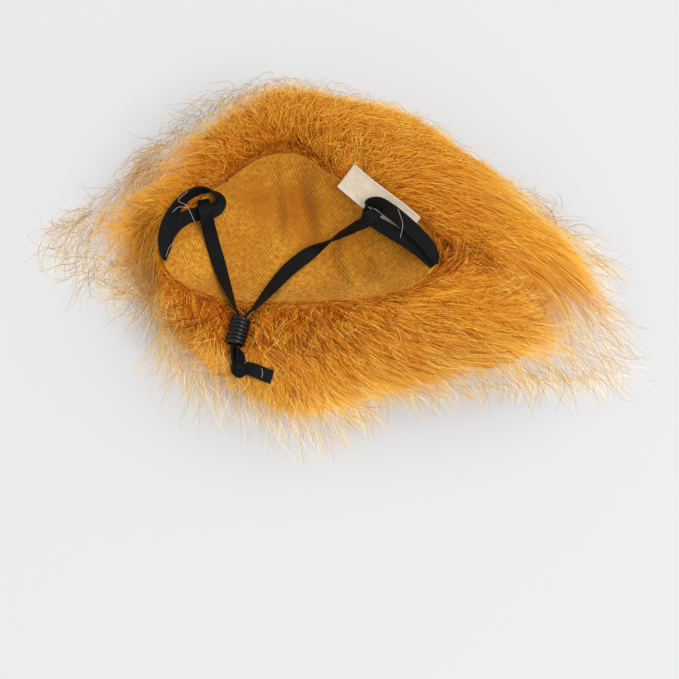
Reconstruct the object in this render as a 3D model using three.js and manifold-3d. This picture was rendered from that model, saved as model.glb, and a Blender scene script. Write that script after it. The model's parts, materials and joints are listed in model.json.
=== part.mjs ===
// Pet wig: a small cap of golden fur cloth that a cat or a small dog wears, held by a black elastic
// chin strap with a cord lock. It lies on its fur, as put down on a table, with the lining up.
// Millimetres, +Z up, +X to the wearer's side that the fur is combed to, -Y towards the knot.

import * as THREE from 'three';
import { mergeVertices } from 'three/addons/utils/BufferGeometryUtils.js';
import Module from 'manifold-3d';

// Lining bowl
const lining_half_width = 55;
const lining_centre_y = -3;
const rim_height = 33;
const bowl_depth = 16;
const wall_power = 2.6;
const lining_thickness = 1.2;
const seam_width = 2.2;
const seam_height = 0.5;
const fold_height = 3.2;
const rim_steps = 42;
const lining_shares = [0.15, 0.3, 0.44, 0.57, 0.69, 0.8, 0.9, 1];
const backing_shares = [0.3, 0.57, 0.8, 0.9, 1];

// Fur
const fur_reach = 156;
const fur_puff = 10;
const fur_tip_height = 22;
const fall_power = 1.7;
const puff_power = 0.78;
const patch_x = -1.26;
const patch_y = -0.2;
const patch_reach_x = 0.36;
const patch_reach_y = 0.5;
const patch_depth = 0.82;
const body_shares = [0.1, 0.27, 0.48, 0.74];
const body_tuck = 0.56;
const side_height = 0.25;
const edge_locks = 44;
const edge_lock_shares = [0.45, 0.66, 0.84, 1];
const edge_lock_taper = [0.7, 1, 0.6, 0];
const edge_lock_overlap = 1.25;
const edge_lock_root = 9;
const edge_lock_height = 0.62;
const edge_lock_shortest = 0.87;
const top_locks = 28;
const top_lock_shares = [0.05, 0.28, 0.6, 1];
const top_lock_taper = [0.5, 1, 0.85, 0];
const top_lock_width = 10;
const top_lock_height = 5;
const top_lock_shortest = 0.8;
const lock_sides = 5;
const lock_tip = 0.9;
const wisp_diameter = 2.4;
const wisp_shares = [0, 0.35, 0.7, 1];
const wisp_taper = [2, 1.4, 1, 0.3];

// Elastic, label, cord lock, knot and clearance
const elastic_width = 5.6;
const elastic_thickness = 1;
const left_loop_length = 30;
const right_loop_length = 34;
const left_corner_angle = 192.5;
const right_corner_angle = 345;
const label_length = 36;
const label_width = 11.9;
const label_thickness = 0.6;
const label_angle = 5;
const barrel_diameter = 8.2;
const barrel_bore = 5.8;
const barrel_length = 11;
const barrel_ribs = 7;
const barrel_sides = 14;
const rib_depth = 0.55;
const knot_width = 7;
const knot_lump = [0.94, 1.02, 0.74];
const knot_wrap_radius = 0.34;
const knot_wrap_tube = 0.17;
const knot_wrap_height = 1.35;
const knot_wrap_lean = 17;
const knot_wrap_turn = 29;
const tail_length = 10.5;
const clearance = 0.3;
const pressed_height = 8;

// Middle of the cord lock and the end of its axis that the straps go in at, and middle of the knot.
const lock_middle = [-24.1, -46, 29];
const lock_mouth = [-22.8, -40.9, 30.2];
const knot_middle = [-23.7, -60.3, 24.4];

// Rim of the lining seen from above. Angle round the bowl's centre in degrees, reach as a share of
// lining_half_width, height as a share of rim_height.
const rim_rows = [
  { angle: 0, reach: 0.92, height: 0.97 },
  { angle: 10, reach: 0.79, height: 0.975 },
  { angle: 22, reach: 0.65, height: 0.985 },
  { angle: 45, reach: 0.525, height: 1 },
  { angle: 68, reach: 0.513, height: 1 },
  { angle: 90, reach: 0.616, height: 1 },
  { angle: 110, reach: 0.655, height: 1 },
  { angle: 140, reach: 0.667, height: 0.97 },
  { angle: 160, reach: 0.764, height: 0.965 },
  { angle: 178, reach: 0.9, height: 0.945 },
  { angle: 191, reach: 1, height: 0.94 },
  { angle: 201, reach: 0.97, height: 0.88 },
  { angle: 220, reach: 0.76, height: 0.82 },
  { angle: 242, reach: 0.582, height: 0.79 },
  { angle: 270, reach: 0.513, height: 0.79 },
  { angle: 300, reach: 0.575, height: 0.79 },
  { angle: 322, reach: 0.76, height: 0.82 },
  { angle: 338, reach: 0.96, height: 0.88 },
  { angle: 348, reach: 1.01, height: 0.94 },
];

// Fur by the angle of its roots on the rim. Reach is a share of fur_reach, tip a share of
// fur_tip_height, puff a share of fur_puff, and turn the angle from the root to the tip in degrees.
const fur_rows = [
  { angle: 14, reach: 0.777, tip: 0.4, puff: 0.5, turn: -14 },
  { angle: 30, reach: 0.653, tip: 0.55, puff: 0.5, turn: -19 },
  { angle: 50, reach: 0.52, tip: 0.8, puff: 0.5, turn: -23 },
  { angle: 70, reach: 0.477, tip: 0.9, puff: 0.65, turn: -22 },
  { angle: 86, reach: 0.448, tip: 1, puff: 0.9, turn: -13 },
  { angle: 101, reach: 0.48, tip: 1, puff: 1, turn: -5 },
  { angle: 115, reach: 0.503, tip: 0.82, puff: 0.9, turn: 2 },
  { angle: 126, reach: 0.469, tip: 0.7, puff: 0.8, turn: 7 },
  { angle: 142, reach: 0.545, tip: 0.45, puff: 0.5, turn: 10 },
  { angle: 157, reach: 0.649, tip: 0.27, puff: 0.3, turn: 8 },
  { angle: 173, reach: 0.681, tip: 0.23, puff: 0.3, turn: 4 },
  { angle: 182, reach: 0.64, tip: 0.23, puff: 0.3, turn: 5 },
  { angle: 189, reach: 0.535, tip: 0.25, puff: 0.3, turn: 7 },
  { angle: 197, reach: 0.48, tip: 0.25, puff: 0.3, turn: 12 },
  { angle: 207, reach: 0.51, tip: 0.23, puff: 0.3, turn: 17 },
  { angle: 221, reach: 0.49, tip: 0.2, puff: 0.35, turn: 21 },
  { angle: 245, reach: 0.525, tip: 0.18, puff: 0.4, turn: 25 },
  { angle: 274, reach: 0.515, tip: 0.18, puff: 0.5, turn: 28 },
  { angle: 298, reach: 0.633, tip: 0.18, puff: 0.5, turn: 21 },
  { angle: 318, reach: 0.795, tip: 0.18, puff: 0.5, turn: 13 },
  { angle: 337, reach: 0.985, tip: 0.18, puff: 0.5, turn: 4 },
  { angle: 358, reach: 0.815, tip: 0.33, puff: 0.55, turn: -4 },
];

// Thin wisps that reach past the thick fur, by the angle and the reach of their tips.
const wisp_rows = [
  { angle: 236, reach: 0.66 },
  { angle: 246, reach: 0.64 },
  { angle: 256, reach: 0.66 },
  { angle: 265, reach: 0.65 },
];

// Folds of the lining, from one end to the other as shares of lining_half_width from the bowl's
// centre. Height is a share of fold_height, a hollow below zero, and spread a share of the half width.
const fold_rows = [
  { from: [-0.21, 0.56], to: [-0.18, 0.05], height: -0.9, spread: 0.05 },
  { from: [-0.12, 0.58], to: [-0.1, 0.08], height: 0.7, spread: 0.045 },
  { from: [-0.03, 0.56], to: [0.06, 0.02], height: -1, spread: 0.055 },
  { from: [0.06, 0.5], to: [0.16, 0.1], height: 0.6, spread: 0.05 },
  { from: [0.2, 0.02], to: [0.34, -0.42], height: -0.7, spread: 0.045 },
  { from: [0.42, 0.04], to: [0.54, -0.36], height: -0.7, spread: 0.05 },
  { from: [0.32, 0.03], to: [0.44, -0.4], height: 0.6, spread: 0.05 },
];

// Route of each ear loop from its sewn corner round the bight and back, as shares of the way it
// reaches from the corner.
// Tilt turns the flat elastic about its own path in degrees, width is a share of elastic_width.
const left_loop_rows = [
  { x: 0.007, y: -0.003, z: 0.037, tilt: -8, width: 1 },
  { x: 0, y: 0.117, z: 0.06, tilt: -10, width: 1 },
  { x: 0.027, y: 0.29, z: 0.07, tilt: -13, width: 1 },
  { x: 0.127, y: 0.45, z: 0.073, tilt: -17, width: 1 },
  { x: 0.273, y: 0.573, z: 0.047, tilt: -24, width: 1 },
  { x: 0.433, y: 0.647, z: 0.013, tilt: -38, width: 0.95 },
  { x: 0.58, y: 0.68, z: 0.003, tilt: -60, width: 0.9 },
  { x: 0.687, y: 0.757, z: 0.013, tilt: -80, width: 0.85 },
  { x: 0.713, y: 0.853, z: 0.06, tilt: -90, width: 0.85 },
  { x: 0.633, y: 0.923, z: 0.127, tilt: -98, width: 0.85 },
  { x: 0.487, y: 0.937, z: 0.18, tilt: -102, width: 0.85 },
  { x: 0.327, y: 0.867, z: 0.2, tilt: -108, width: 0.9 },
  { x: 0.193, y: 0.737, z: 0.2, tilt: -118, width: 0.95 },
  { x: 0.087, y: 0.57, z: 0.18, tilt: -132, width: 1 },
  { x: 0.013, y: 0.367, z: 0.153, tilt: -146, width: 1 },
  { x: -0.013, y: 0.16, z: 0.123, tilt: -156, width: 1 },
  { x: 0, y: -0.003, z: 0.097, tilt: -162, width: 1 },
];

const right_loop_rows = [
  { x: 0.009, y: -0.006, z: 0.041, tilt: 15, width: 1 },
  { x: -0.103, y: 0.121, z: 0.044, tilt: 20, width: 1 },
  { x: -0.25, y: 0.235, z: 0.065, tilt: 22, width: 1 },
  { x: -0.403, y: 0.341, z: 0.074, tilt: 22, width: 1 },
  { x: -0.556, y: 0.444, z: 0.076, tilt: 20, width: 1 },
  { x: -0.691, y: 0.538, z: 0.082, tilt: 14, width: 0.95 },
  { x: -0.785, y: 0.635, z: 0.126, tilt: 50, width: 0.86 },
  { x: -0.779, y: 0.726, z: 0.153, tilt: 98, width: 0.85 },
  { x: -0.662, y: 0.75, z: 0.182, tilt: 124, width: 0.95 },
  { x: -0.509, y: 0.656, z: 0.221, tilt: 142, width: 1 },
  { x: -0.344, y: 0.518, z: 0.224, tilt: 150, width: 1 },
  { x: -0.191, y: 0.368, z: 0.2, tilt: 156, width: 1 },
  { x: -0.062, y: 0.197, z: 0.159, tilt: 160, width: 1 },
  { x: 0.015, y: 0.047, z: 0.109, tilt: 164, width: 1 },
];

// Middle line of the label from its loose end to its sewn end, as shares of label_length.
const label_rows = [
  { x: -0.792, y: 0.539, z: 0.094, tilt: -34, width: 1 },
  { x: -0.664, y: 0.419, z: 0.083, tilt: -36, width: 1 },
  { x: -0.531, y: 0.303, z: 0.069, tilt: -35, width: 1 },
  { x: -0.397, y: 0.192, z: 0.058, tilt: -33, width: 1 },
  { x: -0.264, y: 0.081, z: 0.05, tilt: -30, width: 1 },
  { x: -0.153, y: -0.019, z: 0.042, tilt: -26, width: 1 },
  { x: -0.064, y: -0.103, z: 0.033, tilt: -22, width: 1 },
];

// Middle line of the cut tail out of the knot, as shares of tail_length.
const tail_rows = [
  { x: 0.429, y: 0.029, z: 0, tilt: -5, width: 1 },
  { x: 0.571, y: -0.038, z: 0, tilt: -8, width: 1 },
  { x: 0.8, y: -0.124, z: -0.038, tilt: -10, width: 1 },
  { x: 1.029, y: -0.19, z: -0.114, tilt: -10, width: 1 },
  { x: 1.238, y: -0.238, z: -0.21, tilt: -8, width: 1 },
];

// Routes of the two legs of the chin strap, in millimetres, from the ear loop to the knot.
const left_leg_rows = [
  { x: -38, y: 7.7, z: 33.6, tilt: 0, width: 0.9 },
  { x: -37.8, y: 5.2, z: 35.1, tilt: 0, width: 0.95 },
  { x: -37.6, y: 3, z: 35.5, tilt: 0, width: 1 },
  { x: -37.2, y: 1.7, z: 33.2, tilt: 0, width: 1 },
  { x: -36.6, y: 0, z: 29.6, tilt: 0, width: 1 },
  { x: -35.9, y: -2, z: 26.8, tilt: 0, width: 1 },
  { x: -35.1, y: -4.5, z: 24.7, tilt: 0, width: 1 },
  { x: -34.2, y: -7.4, z: 23.3, tilt: 0, width: 1 },
  { x: -33.1, y: -10.8, z: 22.5, tilt: 5, width: 1 },
  { x: -31.9, y: -15, z: 22.5, tilt: 15, width: 0.98 },
  { x: -30.5, y: -19.9, z: 23.6, tilt: 30, width: 0.95 },
  { x: -28.9, y: -25.5, z: 26.2, tilt: 45, width: 0.9 },
  { x: -27.3, y: -31.3, z: 29.5, tilt: 60, width: 0.85 },
  { x: -25.8, y: -35.8, z: 31.3, tilt: 76, width: 0.78 },
  { x: -23.6, y: -41, z: 30.2, tilt: 88, width: 0.62 },
  { x: -24.9, y: -46.1, z: 29, tilt: 90, width: 0.62 },
  { x: -26.2, y: -51.2, z: 27.9, tilt: 90, width: 0.62 },
  { x: -26.3, y: -53.6, z: 27.2, tilt: 62, width: 0.8 },
  { x: -25.9, y: -55.2, z: 26.4, tilt: 50, width: 0.85 },
  { x: -25.1, y: -56.6, z: 25.6, tilt: 52, width: 0.8 },
];

const right_leg_rows = [
  { x: 30.8, y: 3.1, z: 37.2, tilt: 0, width: 0.9 },
  { x: 29.4, y: 1.3, z: 38.2, tilt: 0, width: 1 },
  { x: 27.8, y: 0.1, z: 38, tilt: 0, width: 1.12 },
  { x: 25.4, y: -0.9, z: 35.8, tilt: 0, width: 1.1 },
  { x: 22.4, y: -0.4, z: 31, tilt: -5, width: 1.1 },
  { x: 19.4, y: 0, z: 26.8, tilt: -15, width: 1 },
  { x: 16.4, y: -0, z: 23.1, tilt: -35, width: 0.95 },
  { x: 13.2, y: -1.3, z: 21.3, tilt: -62, width: 0.85 },
  { x: 10, y: -3.1, z: 20.6, tilt: -90, width: 0.78 },
  { x: 6.8, y: -4.8, z: 19.9, tilt: -122, width: 0.88 },
  { x: 3.4, y: -6.8, z: 19.1, tilt: -155, width: 1 },
  { x: 0, y: -9.3, z: 18.6, tilt: -176, width: 1.08 },
  { x: -3.5, y: -12.6, z: 18.9, tilt: -180, width: 1.08 },
  { x: -6.8, y: -16.8, z: 20, tilt: -182, width: 1.02 },
  { x: -9.9, y: -22, z: 22.4, tilt: -190, width: 0.98 },
  { x: -12.7, y: -27.6, z: 26, tilt: -204, width: 0.92 },
  { x: -15.2, y: -32.7, z: 29.3, tilt: -220, width: 0.88 },
  { x: -17.6, y: -36.6, z: 31, tilt: -240, width: 0.8 },
  { x: -21, y: -39.8, z: 30.9, tilt: -258, width: 0.62 },
  { x: -22, y: -42.4, z: 30, tilt: -268, width: 0.62 },
  { x: -23.3, y: -46.9, z: 28.9, tilt: -270, width: 0.62 },
  { x: -24.6, y: -51.2, z: 27.9, tilt: -270, width: 0.62 },
  { x: -23.5, y: -53.6, z: 27.2, tilt: -298, width: 0.8 },
  { x: -22.8, y: -55.2, z: 26.4, tilt: -310, width: 0.85 },
  { x: -22.4, y: -56.6, z: 25.6, tilt: -308, width: 0.8 },
];

const wasm = await Module();
wasm.setup();

const radians = (degrees) => THREE.MathUtils.degToRad(degrees);

// Smooth value of one column of a table that closes on itself after a full turn.
function aroundTable(rows, column, angle) {
  const turn = ((angle % 360) + 360) % 360;
  let next = rows.findIndex((row) => row.angle > turn);
  if (next < 0) next = rows.length;
  const at = (step) => {
    const index = next + step;
    const wrapped = ((index % rows.length) + rows.length) % rows.length;
    return { angle: rows[wrapped].angle + 360 * Math.floor(index / rows.length), value: rows[wrapped][column] };
  };
  const [before, start, end, after] = [at(-2), at(-1), at(0), at(1)];
  const span = end.angle - start.angle;
  const t = (turn - start.angle) / span;
  const slopeStart = ((end.value - before.value) / (end.angle - before.angle)) * span;
  const slopeEnd = ((after.value - start.value) / (after.angle - start.angle)) * span;
  const t2 = t * t;
  const t3 = t2 * t;
  return (
    (2 * t3 - 3 * t2 + 1) * start.value +
    (t3 - 2 * t2 + t) * slopeStart +
    (3 * t2 - 2 * t3) * end.value +
    (t3 - t2) * slopeEnd
  );
}

// A number from 0 to 1 that looks random but is the same each time.
function vary(index, salt) {
  const wave = Math.sin(index * 12.9898 + salt * 78.233) * 43758.5453;
  return wave - Math.floor(wave);
}

const rimReach = (angle) => lining_half_width * aroundTable(rim_rows, 'reach', angle);
const rimLift = (angle) => rim_height * aroundTable(rim_rows, 'height', angle);

// Height that the folds add to the lining at a point of the plan.
function foldLift(x, y) {
  let lift = 0;
  for (const fold of fold_rows) {
    const from = new THREE.Vector2(...fold.from).multiplyScalar(lining_half_width);
    const along = new THREE.Vector2(...fold.to).multiplyScalar(lining_half_width).sub(from);
    const point = new THREE.Vector2(x, y - lining_centre_y).sub(from);
    const share = point.dot(along) / along.lengthSq();
    const off = point.clone().addScaledVector(along, -share).length();
    const end = THREE.MathUtils.clamp(Math.min(share, 1 - share) / 0.3 + 0.35, 0, 1);
    const spread = fold.spread * lining_half_width;
    lift += fold.height * fold_height * end * Math.exp(-((off / spread) ** 2));
  }
  return lift;
}

function outward(angle, reach, height) {
  return new THREE.Vector3(
    reach * Math.cos(radians(angle)),
    lining_centre_y + reach * Math.sin(radians(angle)),
    height,
  );
}

function lowered(point, drop) {
  return new THREE.Vector3(point.x, point.y, point.z - drop);
}

// The smooth bowl at a share of the way from its centre to its rim.
function bowlPoint(angle, share) {
  const floor = rim_height - bowl_depth;
  return outward(angle, rimReach(angle) * share, floor + (rimLift(angle) - floor) * share ** wall_power);
}

// Top of the lining, which lies in the bowl with its folds.
function liningPoint(angle, share) {
  const point = bowlPoint(angle, share);
  point.z += foldLift(point.x, point.y) * THREE.MathUtils.smoothstep(1 - share, 0, 0.12);
  return point;
}

// Share of its height that the fur loses in the thin patch beside the left corner, where the table
// shows between the hairs. The patch is placed and sized in shares of lining_half_width.
function thinning(point, share) {
  const x = (point.x / lining_half_width - patch_x) / patch_reach_x;
  const y = ((point.y - lining_centre_y) / lining_half_width - patch_y) / patch_reach_y;
  const inside = THREE.MathUtils.smoothstep(1 - Math.hypot(x, y), 0, 0.6);
  return patch_depth * inside * THREE.MathUtils.smoothstep(share, 0, 0.15);
}

// Top of the fur on the way from its root on the rim, share 0, to its tips, share 1.
function furPoint(root, share) {
  const at = (column) => aroundTable(fur_rows, column, root);
  const reach = THREE.MathUtils.lerp(rimReach(root) + seam_width, fur_reach * at('reach'), share);
  const fall = THREE.MathUtils.lerp(rimLift(root) + seam_height, fur_tip_height * at('tip'), share ** fall_power);
  const puff = fur_puff * at('puff') * Math.sin(Math.PI * share ** puff_power);
  const point = outward(root + at('turn') * share, reach, fall + puff);
  point.z *= 1 - thinning(point, share);
  return point;
}

// Closed mesh through rings of points, with one point closing each end.
function loft(rings, first, last) {
  const count = rings[0].length;
  const points = [...rings.flat(), first, last];
  const start = points.length - 2;
  const end = points.length - 1;
  const faces = [];
  for (let ring = 0; ring + 1 < rings.length; ring += 1) {
    for (let step = 0; step < count; step += 1) {
      const a = ring * count + step;
      const b = ring * count + ((step + 1) % count);
      faces.push(a, b, b + count, a, b + count, a + count);
    }
  }
  const top = (rings.length - 1) * count;
  for (let step = 0; step < count; step += 1) {
    const next = (step + 1) % count;
    faces.push(start, next, step);
    faces.push(end, top + step, top + next);
  }
  const geometry = new THREE.BufferGeometry();
  geometry.setAttribute('position', new THREE.Float32BufferAttribute(points.flatMap((p) => p.toArray()), 3));
  geometry.setIndex(faces);
  return geometry;
}

// Turns a closed geometry into a solid that can be joined and cut.
function solid(geometry) {
  const bare = geometry.clone();
  bare.deleteAttribute('normal');
  bare.deleteAttribute('uv');
  const merged = mergeVertices(bare, 1e-4);
  const mesh = new wasm.Mesh({
    numProp: 3,
    vertProperties: Float32Array.from(merged.attributes.position.array),
    triVerts: Uint32Array.from(merged.index.array),
  });
  return new wasm.Manifold(mesh);
}

function geometryOf(body) {
  const mesh = body.getMesh();
  const geometry = new THREE.BufferGeometry();
  geometry.setAttribute('position', new THREE.BufferAttribute(mesh.vertProperties, 3));
  geometry.setIndex(new THREE.BufferAttribute(mesh.triVerts, 1));
  return geometry;
}

// The outer shell alone, without the small hollows that stay closed in between joined locks.
function outerBody(body) {
  const shells = solid(geometryOf(body)).decompose();
  return shells.sort((one, two) => two.volume() - one.volume())[0];
}

// Lining: an open bowl of cloth with its folds, edged by the sewn seam.
const ringAt = (pointOf, count = rim_steps) =>
  Array.from({ length: count }, (_, step) => pointOf((360 * step) / count));

function makeLining() {
  const under = lining_shares.map((share) =>
    ringAt((angle) => lowered(liningPoint(angle, share), lining_thickness)),
  );
  const seam = ringAt((angle) =>
    outward(angle, rimReach(angle) + seam_width * 0.5, rimLift(angle) + seam_height * 0.5),
  );
  const over = lining_shares.map((share) => ringAt((angle) => liningPoint(angle, share))).reverse();
  const middle = liningPoint(0, 0);
  return loft([...under, seam, ...over], lowered(middle, lining_thickness), middle);
}

// Fur: the cloth backing under the lining and the mass of fur that grows from it down to the floor.
function backingPoint(angle, share) {
  const loose = fold_height * THREE.MathUtils.smoothstep(1 - share, 0, 0.2);
  return lowered(bowlPoint(angle, share), lining_thickness + 2 * clearance + loose);
}

function makeFurBody() {
  const inner = backing_shares.map((share) => ringAt((angle) => backingPoint(angle, share)));
  const lip = ringAt((root) => furPoint(root, 0));
  const over = body_shares.map((share) => ringAt((root) => furPoint(root, share)));
  const side = ringAt((root) => {
    const point = furPoint(root, (body_shares.at(-1) + body_tuck) / 2);
    return new THREE.Vector3(point.x, point.y, point.z * side_height);
  });
  const foot = ringAt((root) => {
    const point = furPoint(root, body_tuck);
    return new THREE.Vector3(point.x, point.y, 0);
  });
  const rings = [...inner, lip, ...over, side, foot].reverse();
  return solid(loft(rings, new THREE.Vector3(0, lining_centre_y, 0), backingPoint(0, 0)));
}

// One tapered lock of fur along a path, an oval in section.
function makeLock(path, widths, heights) {
  const curve = new THREE.CatmullRomCurve3(path);
  const rings = path.slice(0, -1).map((point, index) => {
    const along = curve.getTangent(index / (path.length - 1));
    const across = new THREE.Vector3(-along.y, along.x, 0).normalize();
    const up = new THREE.Vector3().crossVectors(along, across);
    return Array.from({ length: lock_sides }, (_, step) => {
      const turn = (2 * Math.PI * step) / lock_sides;
      return point
        .clone()
        .addScaledVector(across, (widths[index] / 2) * Math.cos(turn))
        .addScaledVector(up, (heights[index] / 2) * Math.sin(turn));
    });
  });
  return solid(loft(rings, path[0], path[path.length - 1]));
}

function edgeLock(index) {
  const step = 360 / edge_locks;
  const root = step * (index + 0.5 * vary(index, 1));
  const end = THREE.MathUtils.lerp(1, edge_lock_shortest, vary(index, 2));
  const foot = body_shares.at(-1);
  const width = furPoint(root, foot).distanceTo(furPoint(root + step, foot)) * edge_lock_overlap;
  const widths = edge_lock_taper.map((share) => lock_tip + width * share);
  const heights = edge_lock_taper.map((share) => lock_tip + edge_lock_root * share);
  const path = edge_lock_shares.map((share, row) => {
    const point = furPoint(root, share * end);
    point.z = Math.max(point.z * edge_lock_height, heights[row] / 2 + clearance);
    return point;
  });
  return makeLock(path, widths, heights);
}

function topLock(index) {
  const root = (360 * (index + 0.5 + 0.5 * vary(index, 4))) / top_locks;
  const end = THREE.MathUtils.lerp(top_lock_shortest, 0.94, vary(index, 5));
  const width = top_lock_width * THREE.MathUtils.lerp(0.8, 1.2, vary(index, 6));
  const widths = top_lock_taper.map((share) => lock_tip + width * share);
  const heights = top_lock_taper.map((share) => lock_tip + top_lock_height * share);
  const path = top_lock_shares.map((share, row) => {
    const point = furPoint(root, share * end);
    point.z = Math.max(point.z, heights[row] / 2 + clearance);
    return point;
  });
  return makeLock(path, widths, heights);
}

function wisp(row) {
  const root = furPoint(row.angle, 0.7);
  const start = Math.hypot(root.x, root.y - lining_centre_y);
  const path = wisp_shares.map((share) => {
    const height = wisp_diameter / 2 + clearance + root.z * 0.3 * (1 - share);
    return outward(row.angle, THREE.MathUtils.lerp(start, fur_reach * row.reach, share), height);
  });
  const sizes = wisp_taper.map((share) => share * wisp_diameter);
  return makeLock(path, sizes, sizes);
}

function makeFur() {
  const parts = [makeFurBody()];
  for (let index = 0; index < edge_locks; index += 1) parts.push(edgeLock(index));
  for (let index = 0; index < top_locks; index += 1) parts.push(topLock(index));
  for (const row of wisp_rows) parts.push(wisp(row));
  return outerBody(parts.reduce((sum, part) => sum.add(part)));
}

// Flat elastic or ribbon swept along its middle line. Each row gives a point, the turn about the
// line in degrees and the width there.
function makeBand(rows, width, thickness, steps, reach = 0) {
  const points = rows.map((row) => new THREE.Vector3(row.x, row.y, row.z));
  const path = new THREE.CatmullRomCurve3(points);
  const shape = new THREE.CatmullRomCurve3(rows.map((row) => new THREE.Vector3(row.tilt, row.width, 0)));
  const corners = [
    [1, 0.35],
    [0.85, 1],
    [-0.85, 1],
    [-1, 0.35],
    [-1, -0.35],
    [-0.85, -1],
    [0.85, -1],
    [1, -0.35],
  ];
  const rings = Array.from({ length: steps + 1 }, (_, step) => {
    const along = path.getTangent(step / steps);
    const point = path.getPoint(step / steps);
    if (step === 0) point.addScaledVector(along, -reach);
    if (step === steps) point.addScaledVector(along, reach);
    const { x: tilt, y: share } = shape.getPoint(step / steps);
    const level = new THREE.Vector3(along.y, -along.x, 0).normalize();
    const across = level.applyAxisAngle(along, -radians(tilt));
    const face = new THREE.Vector3().crossVectors(along, across);
    return corners.map(([side, top]) =>
      point
        .clone()
        .addScaledVector(across, (side * width * share) / 2)
        .addScaledVector(face, (top * thickness) / 2),
    );
  });
  const middle = (ring) => ring.reduce((sum, p) => sum.add(p), new THREE.Vector3()).divideScalar(ring.length);
  return loft(rings, middle(rings[0]), middle(rings[steps]));
}

// Rows given as shares of a length, moved to where the piece is sewn or tied.
function placedRows(rows, length, base) {
  return rows.map((row) => ({
    ...row,
    x: base.x + row.x * length,
    y: base.y + row.y * length,
    z: base.z + row.z * length,
  }));
}

// Room that a band pressed into the fur takes from it, open above the band.
function bandRoom(rows, width, depth, steps = 10) {
  const lift = (pressed_height - depth) / 2 - clearance;
  const flat = rows.map((row) => ({ ...row, z: row.z + lift, tilt: 0, width: 1 }));
  return solid(makeBand(flat, width + 2 * clearance, pressed_height, steps, width / 4));
}

const leftLoop = placedRows(left_loop_rows, left_loop_length, bowlPoint(left_corner_angle, 1));
const rightLoop = placedRows(right_loop_rows, right_loop_length, bowlPoint(right_corner_angle, 1));
const labelRows = placedRows(label_rows, label_length, bowlPoint(label_angle, 1));
const knotMiddle = new THREE.Vector3(...knot_middle);
const tailRows = placedRows(tail_rows, tail_length, knotMiddle);
const lockMiddle = new THREE.Vector3(...lock_middle);
const lockAxis = new THREE.Vector3(...lock_mouth).sub(lockMiddle).normalize();

// Cord lock: a barrel ribbed like a spring, with an open bore for the straps.
function ribbedBarrel() {
  const outer = barrel_diameter / 2;
  const bore = barrel_bore / 2;
  const pitch = barrel_length / barrel_ribs;
  const profile = [new THREE.Vector2(bore, -barrel_length / 2)];
  for (let rib = 0; rib < barrel_ribs; rib += 1) {
    const low = rib * pitch - barrel_length / 2;
    profile.push(new THREE.Vector2(outer - rib_depth, low));
    profile.push(new THREE.Vector2(outer, low + pitch * 0.3));
    profile.push(new THREE.Vector2(outer, low + pitch * 0.7));
  }
  profile.push(new THREE.Vector2(outer - rib_depth, barrel_length / 2));
  profile.push(new THREE.Vector2(bore, barrel_length / 2));
  profile.push(profile[0].clone());
  return new THREE.LatheGeometry(profile, barrel_sides);
}

// Turns a geometry made along Y to lie along the cord lock's axis at a point.
function alongLock(geometry, middle) {
  const turn = new THREE.Quaternion().setFromUnitVectors(new THREE.Vector3(0, 1, 0), lockAxis);
  return geometry.applyQuaternion(turn).translate(middle.x, middle.y, middle.z);
}

// Knot: the band's turn round the two straps, over the lump of both.
function knotSolid(extra = 0) {
  const size = knot_width + 2 * extra;
  const lump = new THREE.SphereGeometry(size / 2, 12, 8).scale(...knot_lump);
  const wrap = new THREE.TorusGeometry(size * knot_wrap_radius, size * knot_wrap_tube, 8, 14);
  wrap.scale(1, 1, knot_wrap_height);
  wrap.rotateX(Math.PI / 2);
  wrap.rotateY(-radians(knot_wrap_lean));
  wrap.rotateZ(-radians(knot_wrap_turn));
  return solid(lump).add(solid(wrap)).translate(knot_middle);
}

function lockRoom() {
  const across = barrel_diameter + 2 * clearance;
  const length = barrel_length + 2 * clearance;
  const round = new THREE.CylinderGeometry(across / 2, across / 2, length, 16);
  const above = new THREE.BoxGeometry(across, length, pressed_height).translate(0, 0, pressed_height / 2);
  return solid(alongLock(round, lockMiddle)).add(solid(alongLock(above, lockMiddle)));
}

function knotRoom() {
  const radius = knot_width / 2 + clearance;
  const above = new THREE.CylinderGeometry(radius, radius, pressed_height, 16).rotateX(Math.PI / 2);
  above.translate(knotMiddle.x, knotMiddle.y, knotMiddle.z + pressed_height / 2);
  return knotSolid(clearance).add(solid(above));
}

// The fur gives way under everything that lies on it.
function pressedFur() {
  const halves = (rows) => [rows.slice(0, rows.length / 2 + 1), rows.slice(rows.length / 2)];
  const straps = [left_leg_rows.slice(-9), right_leg_rows.slice(-10)];
  const rooms = [
    ...[leftLoop, rightLoop].flatMap(halves).map((rows) => bandRoom(rows, elastic_width, elastic_width)),
    ...straps.map((rows) => bandRoom(rows, elastic_width * 0.9, elastic_width)),
    bandRoom(labelRows, label_width, label_width * 0.5),
    bandRoom(tailRows, elastic_width, elastic_width * 0.6),
    lockRoom(),
    knotRoom(),
  ];
  return outerBody(rooms.reduce((fur, room) => fur.subtract(room), makeFur()));
}

const model = new THREE.Group();

function addPiece(name, geometry, color, roughness) {
  const mesh = new THREE.Mesh(geometry, new THREE.MeshStandardMaterial({ color, roughness, metalness: 0 }));
  mesh.name = name;
  model.add(mesh);
  return mesh;
}

const black = 0x17181a;
const elastic = (rows, steps) => makeBand(rows, elastic_width, elastic_thickness, steps);

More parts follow.
